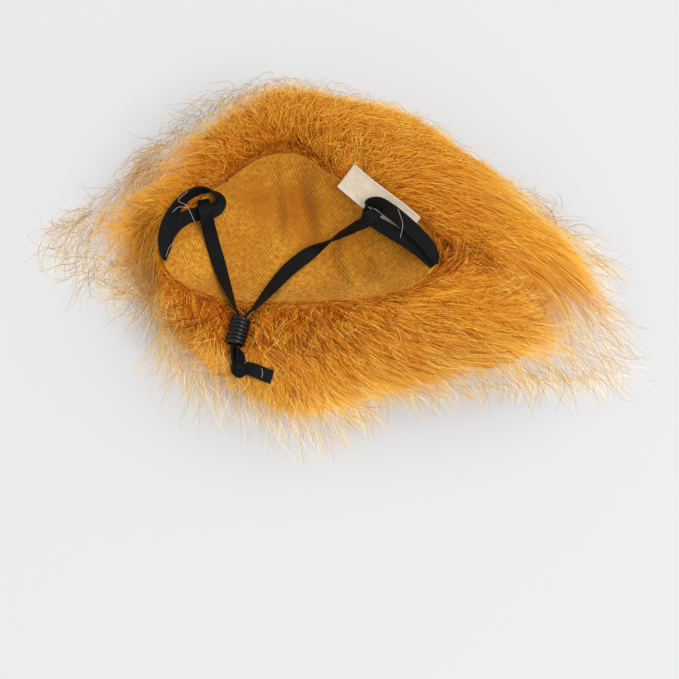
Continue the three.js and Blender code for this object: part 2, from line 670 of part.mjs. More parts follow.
addPiece('lining', makeLining(), 0xc7842a, 0.85);
addPiece('fur', geometryOf(pressedFur()), 0xd1933d, 0.9);
addPiece('label', makeBand(labelRows, label_width, label_thickness, 8), 0xf1ece2, 0.6);
addPiece('ear_loop_left', elastic(leftLoop, 26), black, 0.8);
addPiece('ear_loop_right', elastic(rightLoop, 24), black, 0.8);
addPiece('chin_strap_left', elastic(left_leg_rows, 30), black, 0.8);
addPiece('chin_strap_right', elastic(right_leg_rows, 34), black, 0.8);
addPiece('cord_lock', alongLock(ribbedBarrel(), lockMiddle), black, 0.45);
addPiece('strap_knot', geometryOf(knotSolid()), black, 0.8);
addPiece('strap_tail', elastic(tailRows, 6), black, 0.8);

// The origin is the middle of the whole wig, on the surface that it lies on.
const whole = new THREE.Box3().setFromObject(model);
const centre = whole.getCenter(new THREE.Vector3());
model.position.set(-centre.x, -centre.y, -whole.min.z);

export default model;
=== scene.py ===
# Pet wig, dressed for its picture: a small golden fur cap that lies on its fur with the lining up,
# with the black elastic ear loops and chin strap, the ribbed cord lock and the blank label.
# Metres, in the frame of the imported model. Tables of the object's form are in millimetres.

import json
import math

import bpy
import numpy as np
from mathutils import Matrix
from mathutils.kdtree import KDTree


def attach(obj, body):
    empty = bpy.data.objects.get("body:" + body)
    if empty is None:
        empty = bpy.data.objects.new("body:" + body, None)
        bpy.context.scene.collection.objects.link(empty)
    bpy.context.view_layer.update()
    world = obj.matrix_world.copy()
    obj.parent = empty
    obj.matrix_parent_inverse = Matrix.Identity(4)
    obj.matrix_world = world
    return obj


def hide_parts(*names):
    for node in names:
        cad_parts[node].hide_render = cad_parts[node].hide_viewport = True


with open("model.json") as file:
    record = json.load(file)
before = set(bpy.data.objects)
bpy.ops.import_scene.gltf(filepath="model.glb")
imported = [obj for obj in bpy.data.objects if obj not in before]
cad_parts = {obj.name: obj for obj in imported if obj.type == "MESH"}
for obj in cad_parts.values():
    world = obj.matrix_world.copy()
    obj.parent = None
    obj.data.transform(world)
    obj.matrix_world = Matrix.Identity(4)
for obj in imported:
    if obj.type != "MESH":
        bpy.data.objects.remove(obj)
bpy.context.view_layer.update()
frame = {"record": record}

# Camera. The wig was photographed from the side of its knot, from high above the table, with a
# long lens that draws nearly parallel.
camera_height_angle = math.radians(65)
camera_distance = 1.2
camera_target = (-0.0033, -0.0190, 0.0)
view_width = 0.2716
wig_height = 0.02

camera_data = bpy.data.cameras.new("camera")
camera_data.sensor_width = 36
depth_to_wig = camera_distance - wig_height * math.sin(camera_height_angle)
camera_data.lens = camera_data.sensor_width * depth_to_wig / view_width
camera_data.clip_start = 0.01
camera = bpy.data.objects.new("camera", camera_data)
camera.location = (
    camera_target[0],
    camera_target[1] - camera_distance * math.cos(camera_height_angle),
    camera_target[2] + camera_distance * math.sin(camera_height_angle),
)
camera.rotation_euler = (math.pi / 2 - camera_height_angle, 0, 0)
bpy.context.scene.collection.objects.link(camera)
bpy.context.scene.camera = camera

# Lining: a bowl of thin mustard jersey, cut to the shape of a pet's crown and sewn to the fur cloth
# all round its edge. Its slack cloth lies in soft folds, and the edge is turned under at the seam.
MM = 0.001
lining_half_width = 55
rim_height = 33
bowl_depth = 16
wall_power = 2.6
lining_thickness = 0.9
seam_width = 2.2
seam_height = 0.5
fold_height = 3.2

seat = next(mount for mount in frame["record"]["mounts"] if mount["name"] == "head_seat")["pos_m"]
bowl_centre = np.array([seat[0] / MM, seat[1] / MM, 0.0])

rim_rows = [  # angle round the bowl in degrees, reach and height as shares
    (0, 0.92, 0.97), (10, 0.79, 0.975), (22, 0.65, 0.985), (45, 0.525, 1), (68, 0.513, 1),
    (90, 0.616, 1), (110, 0.655, 1), (140, 0.667, 0.97), (160, 0.764, 0.965), (178, 0.9, 0.945),
    (191, 1, 0.94), (201, 0.97, 0.88), (220, 0.76, 0.82), (242, 0.582, 0.79), (270, 0.513, 0.79),
    (300, 0.575, 0.79), (322, 0.76, 0.82), (338, 0.96, 0.88), (348, 1.01, 0.94),
]

fold_rows = [  # both ends as shares of the half width, height as a share, spread as a share
    ((-0.22, 0.58), (-0.15, 0.12), -0.6, 0.07),
    ((-0.13, 0.58), (-0.06, 0.12), 0.55, 0.055),
    ((-0.05, 0.56), (0.1, 0.02), -0.85, 0.075),
    ((0.08, 0.5), (0.2, 0.1), 0.45, 0.07),
    ((0.18, 0.04), (0.32, -0.34), -0.8, 0.06),
    ((0.39, 0.06), (0.54, -0.3), -0.68, 0.06),
    ((0.29, 0.05), (0.42, -0.34), 0.5, 0.055),
]


def hermite(t, first, slope_first, second, slope_second):
    """Smooth value between two values, with the slopes that it has at both."""
    return (
        (2 * t**3 - 3 * t**2 + 1) * first
        + (t**3 - 2 * t**2 + t) * slope_first
        + (3 * t**2 - 2 * t**3) * second
        + (t**3 - t**2) * slope_second
    )


def around(rows, column, angle):
    """Smooth value of one column of a table that closes on itself after a full turn."""
    table = np.array(rows, float)
    start = np.concatenate([table[-2:, 0] - 360, table[:, 0], table[:2, 0] + 360])
    value = np.concatenate([table[-2:, column], table[:, column], table[:2, column]])
    turn = np.mod(angle, 360)
    end = np.searchsorted(table[:, 0], turn, side="right") + 2
    span = start[end] - start[end - 1]
    t = (turn - start[end - 1]) / span
    slope_start = (value[end] - value[end - 2]) / (start[end] - start[end - 2]) * span
    slope_end = (value[end + 1] - value[end - 1]) / (start[end + 1] - start[end - 1]) * span
    return hermite(t, value[end - 1], slope_start, value[end], slope_end)


def smooth(value, low, high):
    t = np.clip((value - low) / (high - low), 0, 1)
    return t * t * (3 - 2 * t)


def rim_reach(angle):
    return lining_half_width * around(rim_rows, 1, angle)


def rim_lift(angle):
    return rim_height * around(rim_rows, 2, angle)


def outward(angle, reach, height):
    """Points at an angle and a reach from the bowl's centre, in millimetres."""
    turn = np.radians(angle)
    parts = np.broadcast_arrays(reach * np.cos(turn), reach * np.sin(turn), height)
    return np.stack(parts, axis=-1) + bowl_centre


def bowl_point(angle, share):
    floor = rim_height - bowl_depth
    return outward(angle, rim_reach(angle) * share, floor + (rim_lift(angle) - floor) * share**wall_power)


def fold_lift(points):
    plan = (points - bowl_centre)[..., :2] / lining_half_width
    lift = np.zeros(plan.shape[:-1])
    for start, end, height, spread in fold_rows:
        along = np.subtract(end, start)
        share = (plan - start) @ along / (along @ along)
        off = np.linalg.norm(plan - start - share[..., None] * along, axis=-1)
        fade = np.clip(np.minimum(share, 1 - share) / 0.3 + 0.35, 0, 1)
        lift += height * fold_height * fade * np.exp(-((off / spread) ** 2))
    return lift


def lining_point(angle, share):
    point = bowl_point(angle, share)
    point[..., 2] += fold_lift(point) * smooth(1 - share, 0, 0.12)
    return point


def mesh_piece(name, points, faces, material, uv=None):
    """A smooth mesh piece on the one body, from points in millimetres and a list of its faces."""
    mesh = bpy.data.meshes.new(name)
    mesh.from_pydata(np.asarray(points, float).reshape(-1, 3) * MM, [], [tuple(face) for face in faces])
    if uv is not None:
        layer = mesh.uv_layers.new(name="UVMap")
        corners = np.empty(len(mesh.loops), dtype=np.int32)
        mesh.loops.foreach_get("vertex_index", corners)
        layer.data.foreach_set("uv", np.asarray(uv, np.float32).reshape(-1, 2)[corners].ravel())
    mesh.polygons.foreach_set("use_smooth", [True] * len(mesh.polygons))
    mesh.materials.append(material)
    mesh.update()
    piece = bpy.data.objects.new(name, mesh)
    bpy.context.scene.collection.objects.link(piece)
    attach(piece, "root")
    return piece


def full_turn(steps):
    """Angles of even steps round a circle, in degrees."""
    return np.arange(steps) * 360 / steps


def ring_faces(rings, count, closed=False):
    """Quads from each ring of points to the next, and from the last to the first if closed."""
    faces = []
    for ring in range(rings if closed else rings - 1):
        here, following = ring * count, (ring + 1) % rings * count
        for step in range(count):
            after = (step + 1) % count
            faces.append((here + step, here + after, following + after, following + step))
    return faces


def shell_faces(rings, count, turned=False):
    """Faces of a whole form: its rings, then one point that closes it at each end."""
    faces = ring_faces(rings, count)
    pole, last = rings * count, (rings - 1) * count
    for step in range(count):
        after = (step + 1) % count
        faces.append((pole, after, step))
        faces.append((pole + 1, last + step, last + after))
    return [tuple(reversed(face)) for face in faces] if turned else faces


class Nodes:
    """Short calls for the nodes of one material or node group."""

    def __init__(self, tree):
        self.tree = tree

    def add(self, kind, inputs=None, **settings):
        node = self.tree.nodes.new(kind)
        for name, value in settings.items():
            setattr(node, name, value)
        for name, value in (inputs or {}).items():
            self.put(node.inputs[name], value)
        return node

    def put(self, socket, value):
        if isinstance(value, bpy.types.NodeSocket):
            self.tree.links.new(value, socket)
        else:
            socket.default_value = value

    def noise(self, place, scale, detail):
        return self.add("ShaderNodeTexNoise", {"Vector": place, "Scale": scale, "Detail": detail}).outputs[0]

    def bump(self, surface, height, strength, distance):
        node = self.add("ShaderNodeBump", {"Height": height, "Strength": strength, "Distance": distance})
        self.put(surface.inputs["Normal"], node.outputs["Normal"])

    def maths(self, operation, *values):
        node = self.add("ShaderNodeMath", operation=operation)
        for socket, value in zip(node.inputs, values):
            self.put(socket, value)
        return node.outputs[0]

    def ramp(self, factor, stops):
        node = self.add("ShaderNodeValToRGB", {"Fac": factor})
        elements = node.color_ramp.elements
        for index, (place, colour) in enumerate(stops):
            element = elements[index] if index < 2 else elements.new(place)
            element.position = place
            element.color = (*colour, 1)
        return node.outputs["Color"]

    def mix(self, factor, first, second, blend="MIX"):
        node = self.add("ShaderNodeMix", data_type="RGBA", blend_type=blend)
        self.put(node.inputs[0], factor)
        self.put(node.inputs[6], first if isinstance(first, bpy.types.NodeSocket) else (*first, 1))
        self.put(node.inputs[7], second if isinstance(second, bpy.types.NodeSocket) else (*second, 1))
        return node.outputs[2]


def colour(red, green, blue):
    """A colour as it is read off a print, 0 to 255, as linear light."""
    shares = [part / 255 for part in (red, green, blue)]
    return tuple(part / 12.92 if part <= 0.04045 else ((part + 0.055) / 1.055) ** 2.4 for part in shares)


def new_material(name):
    """A material, its nodes and its surface."""
    material = bpy.data.materials.new(name)
    material.use_nodes = True
    return material, Nodes(material.node_tree), material.node_tree.nodes["Principled BSDF"]


def make_rib_group():
    """Fine ribs of knitted or woven yarn, for the lining, the elastic and the label."""
    tree = bpy.data.node_groups.new("yarn_ribs", "ShaderNodeTree")
    for name, kind in (("Vector", "NodeSocketVector"), ("Pitch", "NodeSocketFloat"),
                       ("Slant", "NodeSocketFloat"), ("Unevenness", "NodeSocketFloat")):
        tree.interface.new_socket(name, in_out="INPUT", socket_type=kind)
    for name in ("Height", "Wear"):
        tree.interface.new_socket(name, in_out="OUTPUT", socket_type="NodeSocketFloat")
    nodes = Nodes(tree)
    given = nodes.add("NodeGroupInput").outputs
    turned = nodes.add("ShaderNodeVectorRotate", {"Vector": given["Vector"], "Angle": given["Slant"]},
                       rotation_type="Z_AXIS").outputs[0]
    parts = nodes.add("ShaderNodeSeparateXYZ", {"Vector": turned}).outputs
    wander = nodes.noise(turned, 260.0, 3.0)
    bend = nodes.maths("MULTIPLY", wander, given["Unevenness"])
    phase = nodes.maths("DIVIDE", nodes.maths("ADD", parts["X"], bend), given["Pitch"])
    cross = nodes.maths("DIVIDE", nodes.maths("ADD", parts["Y"], bend), given["Pitch"])
    rib = nodes.maths("SINE", nodes.maths("MULTIPLY", phase, 2 * math.pi))
    stitch = nodes.maths("SINE", nodes.maths("MULTIPLY", cross, 2.6 * math.pi))
    height = nodes.maths("ADD", nodes.maths("MULTIPLY", rib, 0.27), nodes.maths("MULTIPLY", stitch, 0.07))
    patches = nodes.noise(turned, 38.0, 3.0)
    specks = nodes.noise(turned, 620.0, 2.0)
    wear = nodes.maths("MULTIPLY", nodes.maths("SUBTRACT", patches, 0.3), 2.2)
    grain = nodes.maths("MULTIPLY", nodes.maths("SUBTRACT", specks, 0.5), 1.7)
    out = nodes.add("NodeGroupOutput")
    nodes.put(out.inputs["Height"], nodes.maths("ADD", nodes.maths("ADD", height, grain), 0.5))
    nodes.put(out.inputs["Wear"], wear)
    return tree


rib_group = make_rib_group()


def cloth_material(name, dark, light, patch, pitch, slant, unevenness, relief, roughness, sheen):
    """Cloth of fine ribs: painted shade between them, painted light on them, and a tint in random patches.
    """
    material, nodes, surface = new_material(name)
    place = nodes.add("ShaderNodeTexCoord").outputs["Object"]
    ribs = nodes.add("ShaderNodeGroup", {"Vector": place, "Pitch": pitch, "Slant": slant,
                                         "Unevenness": unevenness}, node_tree=rib_group)
    # The rib height, with its random specks, sets the colour: painted shade in the grooves, painted light on
    # the rib tops.
    base = nodes.mix(ribs.outputs["Height"], dark, light)
    tinted = nodes.mix(ribs.outputs["Wear"], base, patch)
    nodes.put(surface.inputs["Base Color"], tinted)
    nodes.put(surface.inputs["Roughness"],
              nodes.maths("ADD", nodes.maths("MULTIPLY", ribs.outputs["Wear"], 0.12), roughness))
    nodes.bump(surface, ribs.outputs["Height"], 0.6, relief)
    surface.inputs["Specular IOR Level"].default_value = 0.14
    surface.inputs["Sheen Weight"].default_value = sheen
    surface.inputs["Sheen Roughness"].default_value = 0.5
    return material


# Its dark and light colours are painted shade between the ribs and painted light on them.
lining_material = cloth_material(
    "mustard_jersey", colour(148, 86, 8), colour(224, 160, 48), colour(158, 92, 14),
    pitch=0.0011, slant=math.radians(-32), unevenness=0.0011, relief=0.0002, roughness=0.8, sheen=0.08,
)

lining_steps = 200
lining_rings = 46
ripple_height = 0.28
slack_height = 0.45
edge_fold = 0.9
edge_rise = 0.1
tuck_fold = 0.6
tuck_drop = 0.8


def slack(points):
    """The uneven lie of the loose cloth, from about -1 to 1."""
    plan = (points - bowl_centre) / 9
    x, y = plan[..., 0], plan[..., 1]
    return (np.sin(x + 1.6 * np.sin(0.7 * y + 1)) + np.sin(1.3 * y - 0.8 * x + 2 * np.sin(0.5 * x))) / 2


def make_lining():
    angles = full_turn(lining_steps)
    shares = np.linspace(0, 1, lining_rings + 1)[1:]
    tops = []
    for share in shares:
        ring = lining_point(angles, share)
        pull = np.sin(np.radians(angles) * 37 + 3 * np.sin(np.radians(angles) * 3))
        ring[:, 2] += ripple_height * pull * smooth(share, 0.72, 0.97) * smooth(1 - share, 0, 0.03)
        ring[:, 2] += slack_height * slack(ring) * smooth(1 - share, 0, 0.25)
        tops.append(ring)
    edge = outward(angles, rim_reach(angles) + edge_fold, rim_lift(angles) + edge_rise)
    tuck = outward(angles, rim_reach(angles) + tuck_fold, rim_lift(angles) - tuck_drop)
    unders = [ring - (0, 0, lining_thickness) for ring in tops[::-1]]
    rings = [*tops, edge, tuck, *unders]
    middle = lining_point(np.array([0.0]), 0.0)
    points = np.concatenate([*rings, middle, middle - (0, 0, lining_thickness)])
    faces = shell_faces(len(rings), lining_steps, turned=True)
    return mesh_piece("lining_cloth", points, faces, lining_material)


lining = make_lining()
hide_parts("lining")

# Seam: the edge of the lining is overlocked to the fur cloth with red-brown thread, which shows as
# a fine uneven line, with a lump of dark thread where the sewing began. The line's dark red-brown is
# partly the thread and partly painted shade of the gap between the lining's edge and the fur.
seam_thread_radius = 0.22
seam_steps = 720
seam_start = 142
seam_lump = 0.75


def unit(vectors):
    return vectors / (np.linalg.norm(vectors, axis=-1)[..., None] + 1e-9)


def tube(path, radius, closed=False, sides=6):
    """Points and faces of a thin round thread along a path."""
    along = unit(np.gradient(path, axis=0))
    guide = np.where(np.abs(along[:, 2:]) > 0.9, (1.0, 0, 0), (0, 0, 1.0))
    across = unit(np.cross(along, guide))
    up = np.cross(across, along)
    turns = np.radians(full_turn(sides))[None, :, None]
    size = np.broadcast_to(radius, len(path))[:, None, None]
    rings = path[:, None] + size * (np.cos(turns) * across[:, None] + np.sin(turns) * up[:, None])
    faces = ring_faces(len(path), sides, closed)
    if not closed:
        last = (len(path) - 1) * sides
        faces += [tuple(range(sides))[::-1], tuple(range(last, last + sides))]
    return rings.reshape(-1, 3), faces


def joined(parts):
    """Several meshes as one list of points and one of faces."""
    points, faces, count = [], [], 0
    for part_points, part_faces in parts:
        points.append(part_points)
        faces.extend(tuple(index + count for index in face) for face in part_faces)
        count += len(part_points)
    return np.concatenate(points), faces


def thread_material(name, shade, roughness):
    material, nodes, surface = new_material(name)
    place = nodes.add("ShaderNodeTexCoord").outputs["Object"]
    fibres = nodes.noise(place, 900.0, 2.0)
    nodes.put(surface.inputs["Base Color"],
              nodes.mix(fibres, tuple(part * 0.6 for part in shade), shade))
    rough = nodes.maths("ADD", nodes.maths("MULTIPLY", fibres, 0.2), roughness)
    nodes.put(surface.inputs["Roughness"], rough)
    return material


# Dark red-brown: partly the thread's own colour, partly painted shade of the gap at the seam.
seam_thread_and_shade = thread_material("seam_thread_and_shade", colour(112, 50, 10), 0.8)


def make_seam():
    angles = full_turn(seam_steps)
    turns = np.radians(angles)
    uneven = np.sin(turns * 113 + 2 * np.sin(turns * 5)) + 0.6 * np.sin(turns * 61)
    lump = np.exp(-(((angles - seam_start) / 0.9) ** 2))
    radius = seam_thread_radius * (1 + 0.25 * uneven) + seam_lump * lump
    path = outward(angles, rim_reach(angles) + 0.4 + 0.2 * np.sin(turns * 31), rim_lift(angles) - 0.35)
    return mesh_piece("lining_seam", *tube(path, radius, closed=True), seam_thread_and_shade)


seam = make_seam()

# Label: a blank woven satin tape, folded and sewn into the seam beside the right ear loop.
elastic_width = 5.6
elastic_thickness = 1.0
label_length = 36
label_width = 11.9
label_thickness = 0.55
label_angle = 5
label_rows = [
    (-0.792, 0.539, 0.094, -34, 1), (-0.664, 0.419, 0.083, -36, 1), (-0.531, 0.303, 0.069, -35, 1),
    (-0.397, 0.192, 0.058, -33, 1), (-0.264, 0.081, 0.05, -30, 1), (-0.153, -0.019, 0.042, -26, 1),
    (-0.064, -0.103, 0.033, -22, 1),
]
label_profile = [
    (1, 0.0), (0.98, 0.8), (0.93, 1.0), (0.9, 0.6), (0.6, 0.6), (0.3, 0.6), (0, 0.6),
    (-0.3, 0.6), (-0.6, 0.6), (-0.9, 0.6), (-0.93, 1.0), (-0.98, 0.8),
]
# Its dark and light colours are painted shade between the ribs and a painted sheen on them.
label_material = cloth_material(
    "satin_tape", colour(196, 180, 158), colour(226, 212, 190), colour(206, 190, 168),
    pitch=0.00045, slant=math.radians(44), unevenness=0.0001, relief=0.00006, roughness=0.42, sheen=0.1,
)


def placed(rows, length, base):
    """Rows given as shares of a length, moved to where the piece is sewn or tied."""
    table = np.array(rows, float)
    table[:, :3] = base + table[:, :3] * length
    return table


def catmull(rows, places):
    """Points of the smooth curve through some rows, at places counted in rows."""
    rows = np.asarray(rows, float)
    first, last = 2 * rows[0] - rows[1], 2 * rows[-1] - rows[-2]
    padded = np.concatenate([[first], rows, [last]])
    index = np.minimum(places.astype(int), len(rows) - 2)
    t = (places - index)[:, None]
    p0, p1, p2, p3 = (padded[index + step] for step in range(4))
    d0, d1, d2 = (
        np.maximum(np.linalg.norm((b - a)[:, :3], axis=1), 1e-6)[:, None] ** 0.5
        for a, b in ((p0, p1), (p1, p2), (p2, p3))
    )
    slope_start = ((p1 - p0) / d0 - (p2 - p0) / (d0 + d1) + (p2 - p1) / d1) * d1
    slope_end = ((p2 - p1) / d1 - (p3 - p1) / (d1 + d2) + (p3 - p2) / d2) * d1
    return hermite(t, p1, slope_start, p2, slope_end)


def band(rows, width, thickness, profile, steps_per_row=7):
    """Points, faces and middle line of a flat band through rows of x, y, z, tilt and width share."""
    places = np.linspace(0, len(rows) - 1, (len(rows) - 1) * steps_per_row + 1)
    line = catmull(rows, places)
    middle, tilt, share = line[:, :3], np.radians(line[:, 3])[:, None], line[:, 4]
    along = unit(np.gradient(middle, axis=0))
    level = unit(np.stack([along[:, 1], -along[:, 0], np.zeros(len(along))], axis=1))
    across = level * np.cos(tilt) - np.cross(along, level) * np.sin(tilt)
    face = np.cross(along, across)
    section = profile + [(-side, -top) for side, top in profile]
    rings = [
        middle + across * (side * width * share / 2)[:, None] + face * (top * thickness / 2)
        for side, top in section
    ]
    points = np.concatenate([np.stack(rings, axis=1).reshape(-1, 3), middle[:1], middle[-1:]])
    return points, shell_faces(len(middle), len(section)), middle


label_route = placed(label_rows, label_length, bowl_point(np.array([label_angle]), 1.0)[0])
label_points, label_faces, label_line = band(label_route, label_width, label_thickness, label_profile, 9)
label = mesh_piece("label_tape", label_points, label_faces, label_material)
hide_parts("label")

# Ear loops: one piece of black flat braided elastic at each end of the lining, folded double and
# sewn into the seam. A pet's ears go through them. The braid is polyester yarn over rubber
# threads, which show as fine ribs along it.
left_loop_length = 30
right_loop_length = 34
left_corner_angle = 192.5
right_corner_angle = 345
elastic_profile = [(1, 0.0), (0.985, 0.45), (0.93, 0.85)]
elastic_profile += [(0.84 - 0.12 * rib, 1.0 if rib % 2 == 0 else 0.88) for rib in range(15)]
elastic_profile += [(-0.93, 0.85), (-0.985, 0.45)]
left_loop_rows = [
    (0.007, -0.02, 0, -8, 0.15), (0, 0.117, 0.055, -10, 0.85), (0.027, 0.29, 0.07, -13, 1),
    (0.127, 0.46, 0.073, -17, 1), (0.273, 0.6, 0.047, -22, 1), (0.433, 0.675, 0.013, -24, 1),
    (0.58, 0.7, 0.003, -26, 1), (0.69, 0.765, 0.013, -28, 1), (0.72, 0.86, 0.06, -36, 1.05),
    (0.645, 0.93, 0.127, -58, 1.05), (0.49, 0.945, 0.18, -92, 0.95), (0.327, 0.87, 0.2, -112, 0.9),
    (0.193, 0.737, 0.2, -122, 0.95), (0.087, 0.57, 0.18, -132, 1), (0.013, 0.367, 0.153, -146, 1),
    (-0.013, 0.16, 0.118, -156, 0.85), (0, -0.03, 0.03, -162, 0.15),
]
right_loop_rows = [
    (0.009, -0.006, 0, 15, 0.7), (-0.103, 0.121, 0.044, 20, 1), (-0.25, 0.235, 0.065, 22, 1),
    (-0.403, 0.341, 0.074, 22, 1), (-0.556, 0.444, 0.076, 20, 1), (-0.691, 0.538, 0.082, 14, 0.95),
    (-0.785, 0.635, 0.126, 50, 0.86), (-0.779, 0.726, 0.153, 98, 0.85),
    (-0.662, 0.73, 0.18, 124, 1), (-0.52, 0.62, 0.21, 146, 1.05), (-0.362, 0.477, 0.21, 156, 1.05),
    (-0.209, 0.33, 0.19, 160, 1.05), (-0.07, 0.18, 0.15, 164, 1), (-0.005, 0.07, 0.1, 166, 0.85),
    (0.02, 0.0, 0.03, 168, 0.45),
]
# Its dark and light colours are painted shade between the ribs and painted highlights on them.
elastic_material = cloth_material(
    "black_braid", colour(2, 2, 3), colour(15, 15, 16), colour(8, 8, 9),
    pitch=0.0006, slant=math.radians(20), unevenness=0.0004, relief=0.00015, roughness=0.65, sheen=0.0,
)

loop_lines = []
for name, rows, length, angle in (
    ("ear_loop_left", left_loop_rows, left_loop_length, left_corner_angle),
    ("ear_loop_right", right_loop_rows, right_loop_length, right_corner_angle),
):
    loop_route = placed(rows, length, bowl_point(np.array([angle]), 1.0)[0])
    loop_points, loop_faces, loop_line = band(
        loop_route, elastic_width, elastic_thickness, elastic_profile
    )
    loop = mesh_piece(name + "_braid", loop_points, loop_faces, elastic_material)
    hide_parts(name)
    loop_lines.append(loop_line)

# Chin strap: one length of the same elastic. It is hooked through both ear loops, and its two legs
# run down through the cord lock to the knot. Here it lies slack in the bowl.
left_leg_rows = [
    (-38.8, 10.4, 33.2, 0, 0.85), (-38.2, 7, 35, 0, 1), (-37.7, 3.6, 35.5, 0, 1),
    (-37.2, 1.7, 33.2, 0, 1), (-36.6, 0, 29.6, 0, 1), (-35.9, -2, 26.8, 0, 1),
    (-35.1, -4.5, 24.7, 0, 1), (-34.2, -7.4, 23.3, 0, 1), (-33.1, -10.8, 22.5, 5, 1),
    (-31.9, -15, 22.5, 15, 0.98), (-30.5, -19.9, 23.6, 30, 0.95), (-28.9, -25.5, 26.2, 45, 0.9),
    (-27.3, -31.3, 29.5, 60, 0.85), (-25.8, -35.8, 31.3, 76, 0.78), (-23.6, -41, 30.2, 88, 0.62),
    (-24.9, -46.1, 29, 90, 0.62), (-26.2, -51.2, 27.9, 90, 0.62), (-25.9, -53.6, 27.2, 62, 0.8),
    (-25.3, -55.2, 26.4, 50, 0.95), (-24.6, -57.6, 25.2, 46, 0.95),
]
right_leg_rows = [
    (30.8, 3.1, 37.2, 0, 0.9), (29.4, 1.3, 38.2, 0, 1), (27.8, 0.1, 38, 0, 1.12),
    (25.4, -0.9, 35.8, 0, 1.1), (22.4, -0.4, 31, -5, 1.1), (19.4, 0, 26.8, -15, 1),
    (16.4, 0, 23.1, -35, 0.95), (13.2, -1.3, 21.3, -62, 0.85), (10, -3.1, 20.6, -90, 0.78),
    (6.8, -4.8, 19.9, -122, 0.88), (3.4, -6.8, 19.1, -155, 1), (0, -9.3, 18.6, -176, 1.08),
    (-3.5, -12.6, 18.9, -180, 1.08), (-6.8, -16.8, 20, -182, 1.02), (-9.9, -22, 22.4, -190, 0.98),
    (-12.7, -27.6, 26, -204, 0.92), (-15.2, -32.7, 29.3, -220, 0.88), (-17.6, -36.6, 31, -240, 0.8),
    (-21, -39.8, 30.9, -258, 0.62), (-22, -42.4, 30, -268, 0.62), (-23.3, -46.9, 28.9, -270, 0.62),
    (-24.6, -51.2, 27.9, -270, 0.62), (-23.9, -53.6, 27.2, -298, 0.8),
    (-23.4, -55.2, 26.4, -310, 0.95), (-23.2, -57.6, 25.2, -316, 0.95),
]
lining_centre_y = -3
wig_offset = bowl_centre - (0, lining_centre_y, 0)

legs = {}
for name, rows in (("chin_strap_left", left_leg_rows), ("chin_strap_right", right_leg_rows)):
    leg_route = np.array(rows, float)
    leg_route[:, :3] += wig_offset
    leg_points, leg_faces, leg_line = band(leg_route, elastic_width, elastic_thickness, elastic_profile)
    leg = mesh_piece(name + "_braid", leg_points, leg_faces, elastic_material)
    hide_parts(name)
    legs[name] = (leg, leg_line)

# Cord lock: a moulded black barrel, ribbed like a tight spring, that grips both legs of the strap
# and slides along them.
lock_middle = np.array((-24.1, -46, 29))
lock_mouth = np.array((-22.8, -40.9, 30.2))
barrel_diameter = 8.2
barrel_bore = 5.8
barrel_length = 11
barrel_ribs = 7
rib_depth = 0.6
barrel_steps = 64


def make_lock():
    axis = unit(lock_mouth - lock_middle)
    across = unit(np.cross(axis, (0.0, 0, 1.0)))
    up = np.cross(across, axis)
    outer, bore = barrel_diameter / 2, barrel_bore / 2
    pitch = barrel_length / barrel_ribs
    profile = [(bore, 0.0), (bore, -barrel_length / 2 + 0.3), (bore + 0.25, -barrel_length / 2)]
    for place in np.linspace(0.01, 0.99, barrel_ribs * 10) * barrel_length:
        groove = abs(math.cos(math.pi * place / pitch)) ** 5
        profile.append((outer - rib_depth * groove, place - barrel_length / 2))
    profile += [(bore + 0.25, barrel_length / 2), (bore, barrel_length / 2 - 0.3)]
    turns = np.radians(full_turn(barrel_steps))
    middle = lock_middle + wig_offset
    points = []
    for radius, place in profile:
        slant = 0.2 * np.sin(turns) * (radius > bore + 0.3)
        around_axis = np.cos(turns)[:, None] * across + np.sin(turns)[:, None] * up
        points.append(middle + axis * (place + slant)[:, None] + radius * around_axis)
    return np.concatenate(points), ring_faces(len(profile), barrel_steps, closed=True)


def make_lock_material():
    material, nodes, surface = new_material("lock_plastic")
    place = nodes.add("ShaderNodeTexCoord").outputs["Object"]
    grain = nodes.noise(place, 1500.0, 3.0)
    scuffs = nodes.noise(place, 330.0, 4.0)
    nodes.put(surface.inputs["Base Color"], nodes.mix(scuffs, colour(3, 3, 4), colour(10, 10, 11)))
    gloss = nodes.maths("ADD", nodes.maths("MULTIPLY", scuffs, 0.2), 0.12)
    nodes.put(surface.inputs["Roughness"], gloss)
    nodes.bump(surface, grain, 0.25, 0.0001)
    surface.inputs["Specular IOR Level"].default_value = 0.38
    return material


cord_lock = mesh_piece("cord_lock_barrel", *make_lock(), make_lock_material())
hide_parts("cord_lock")

# Knot and tail: both legs are tied in one overhand knot below the lock, and the joined ends are cut
# off straight a centimetre past it.
knot_middle = np.array((-23.7, -60.3, 24.4))
knot_width = 7
knot_lump = (0.94, 1.0, 0.74)
lump_steps = 48
lump_rings = 24
wrap_radius = 0.34
wrap_tube = 0.165
wrap_height = 1.35
wrap_steps = 56
wrap_sides = 20
wrap_lean = -math.radians(17)
wrap_turn = -math.radians(29)
tail_length = 10.5
tail_rows = [
    (0.2, 0.08, 0, -5, 0.9), (0.571, -0.038, 0, -8, 1), (0.8, -0.124, -0.038, -10, 1),
    (1.029, -0.19, -0.114, -10, 1), (1.238, -0.238, -0.21, -8, 1),
]


def make_lump():
    """Both bands pulled into a lump, creased along their ribs."""
    turns = np.radians(full_turn(lump_steps))
    rings = []
    for height in np.linspace(-math.pi / 2, math.pi / 2, lump_rings + 2)[1:-1]:
        crease = 1 + 0.05 * np.sin(turns * 3 + 2.2 * height) + 0.025 * np.sin(turns * 11 + 5 * height)
        radius = np.cos(height) * crease
        level = np.full(lump_steps, np.sin(height))
        rings.append(np.stack([radius * np.cos(turns), radius * np.sin(turns), level], axis=1))
    points = np.concatenate([*rings, [(0, 0, -1)], [(0, 0, 1)]]) * knot_lump * knot_width / 2
    return points, shell_faces(len(rings), lump_steps)


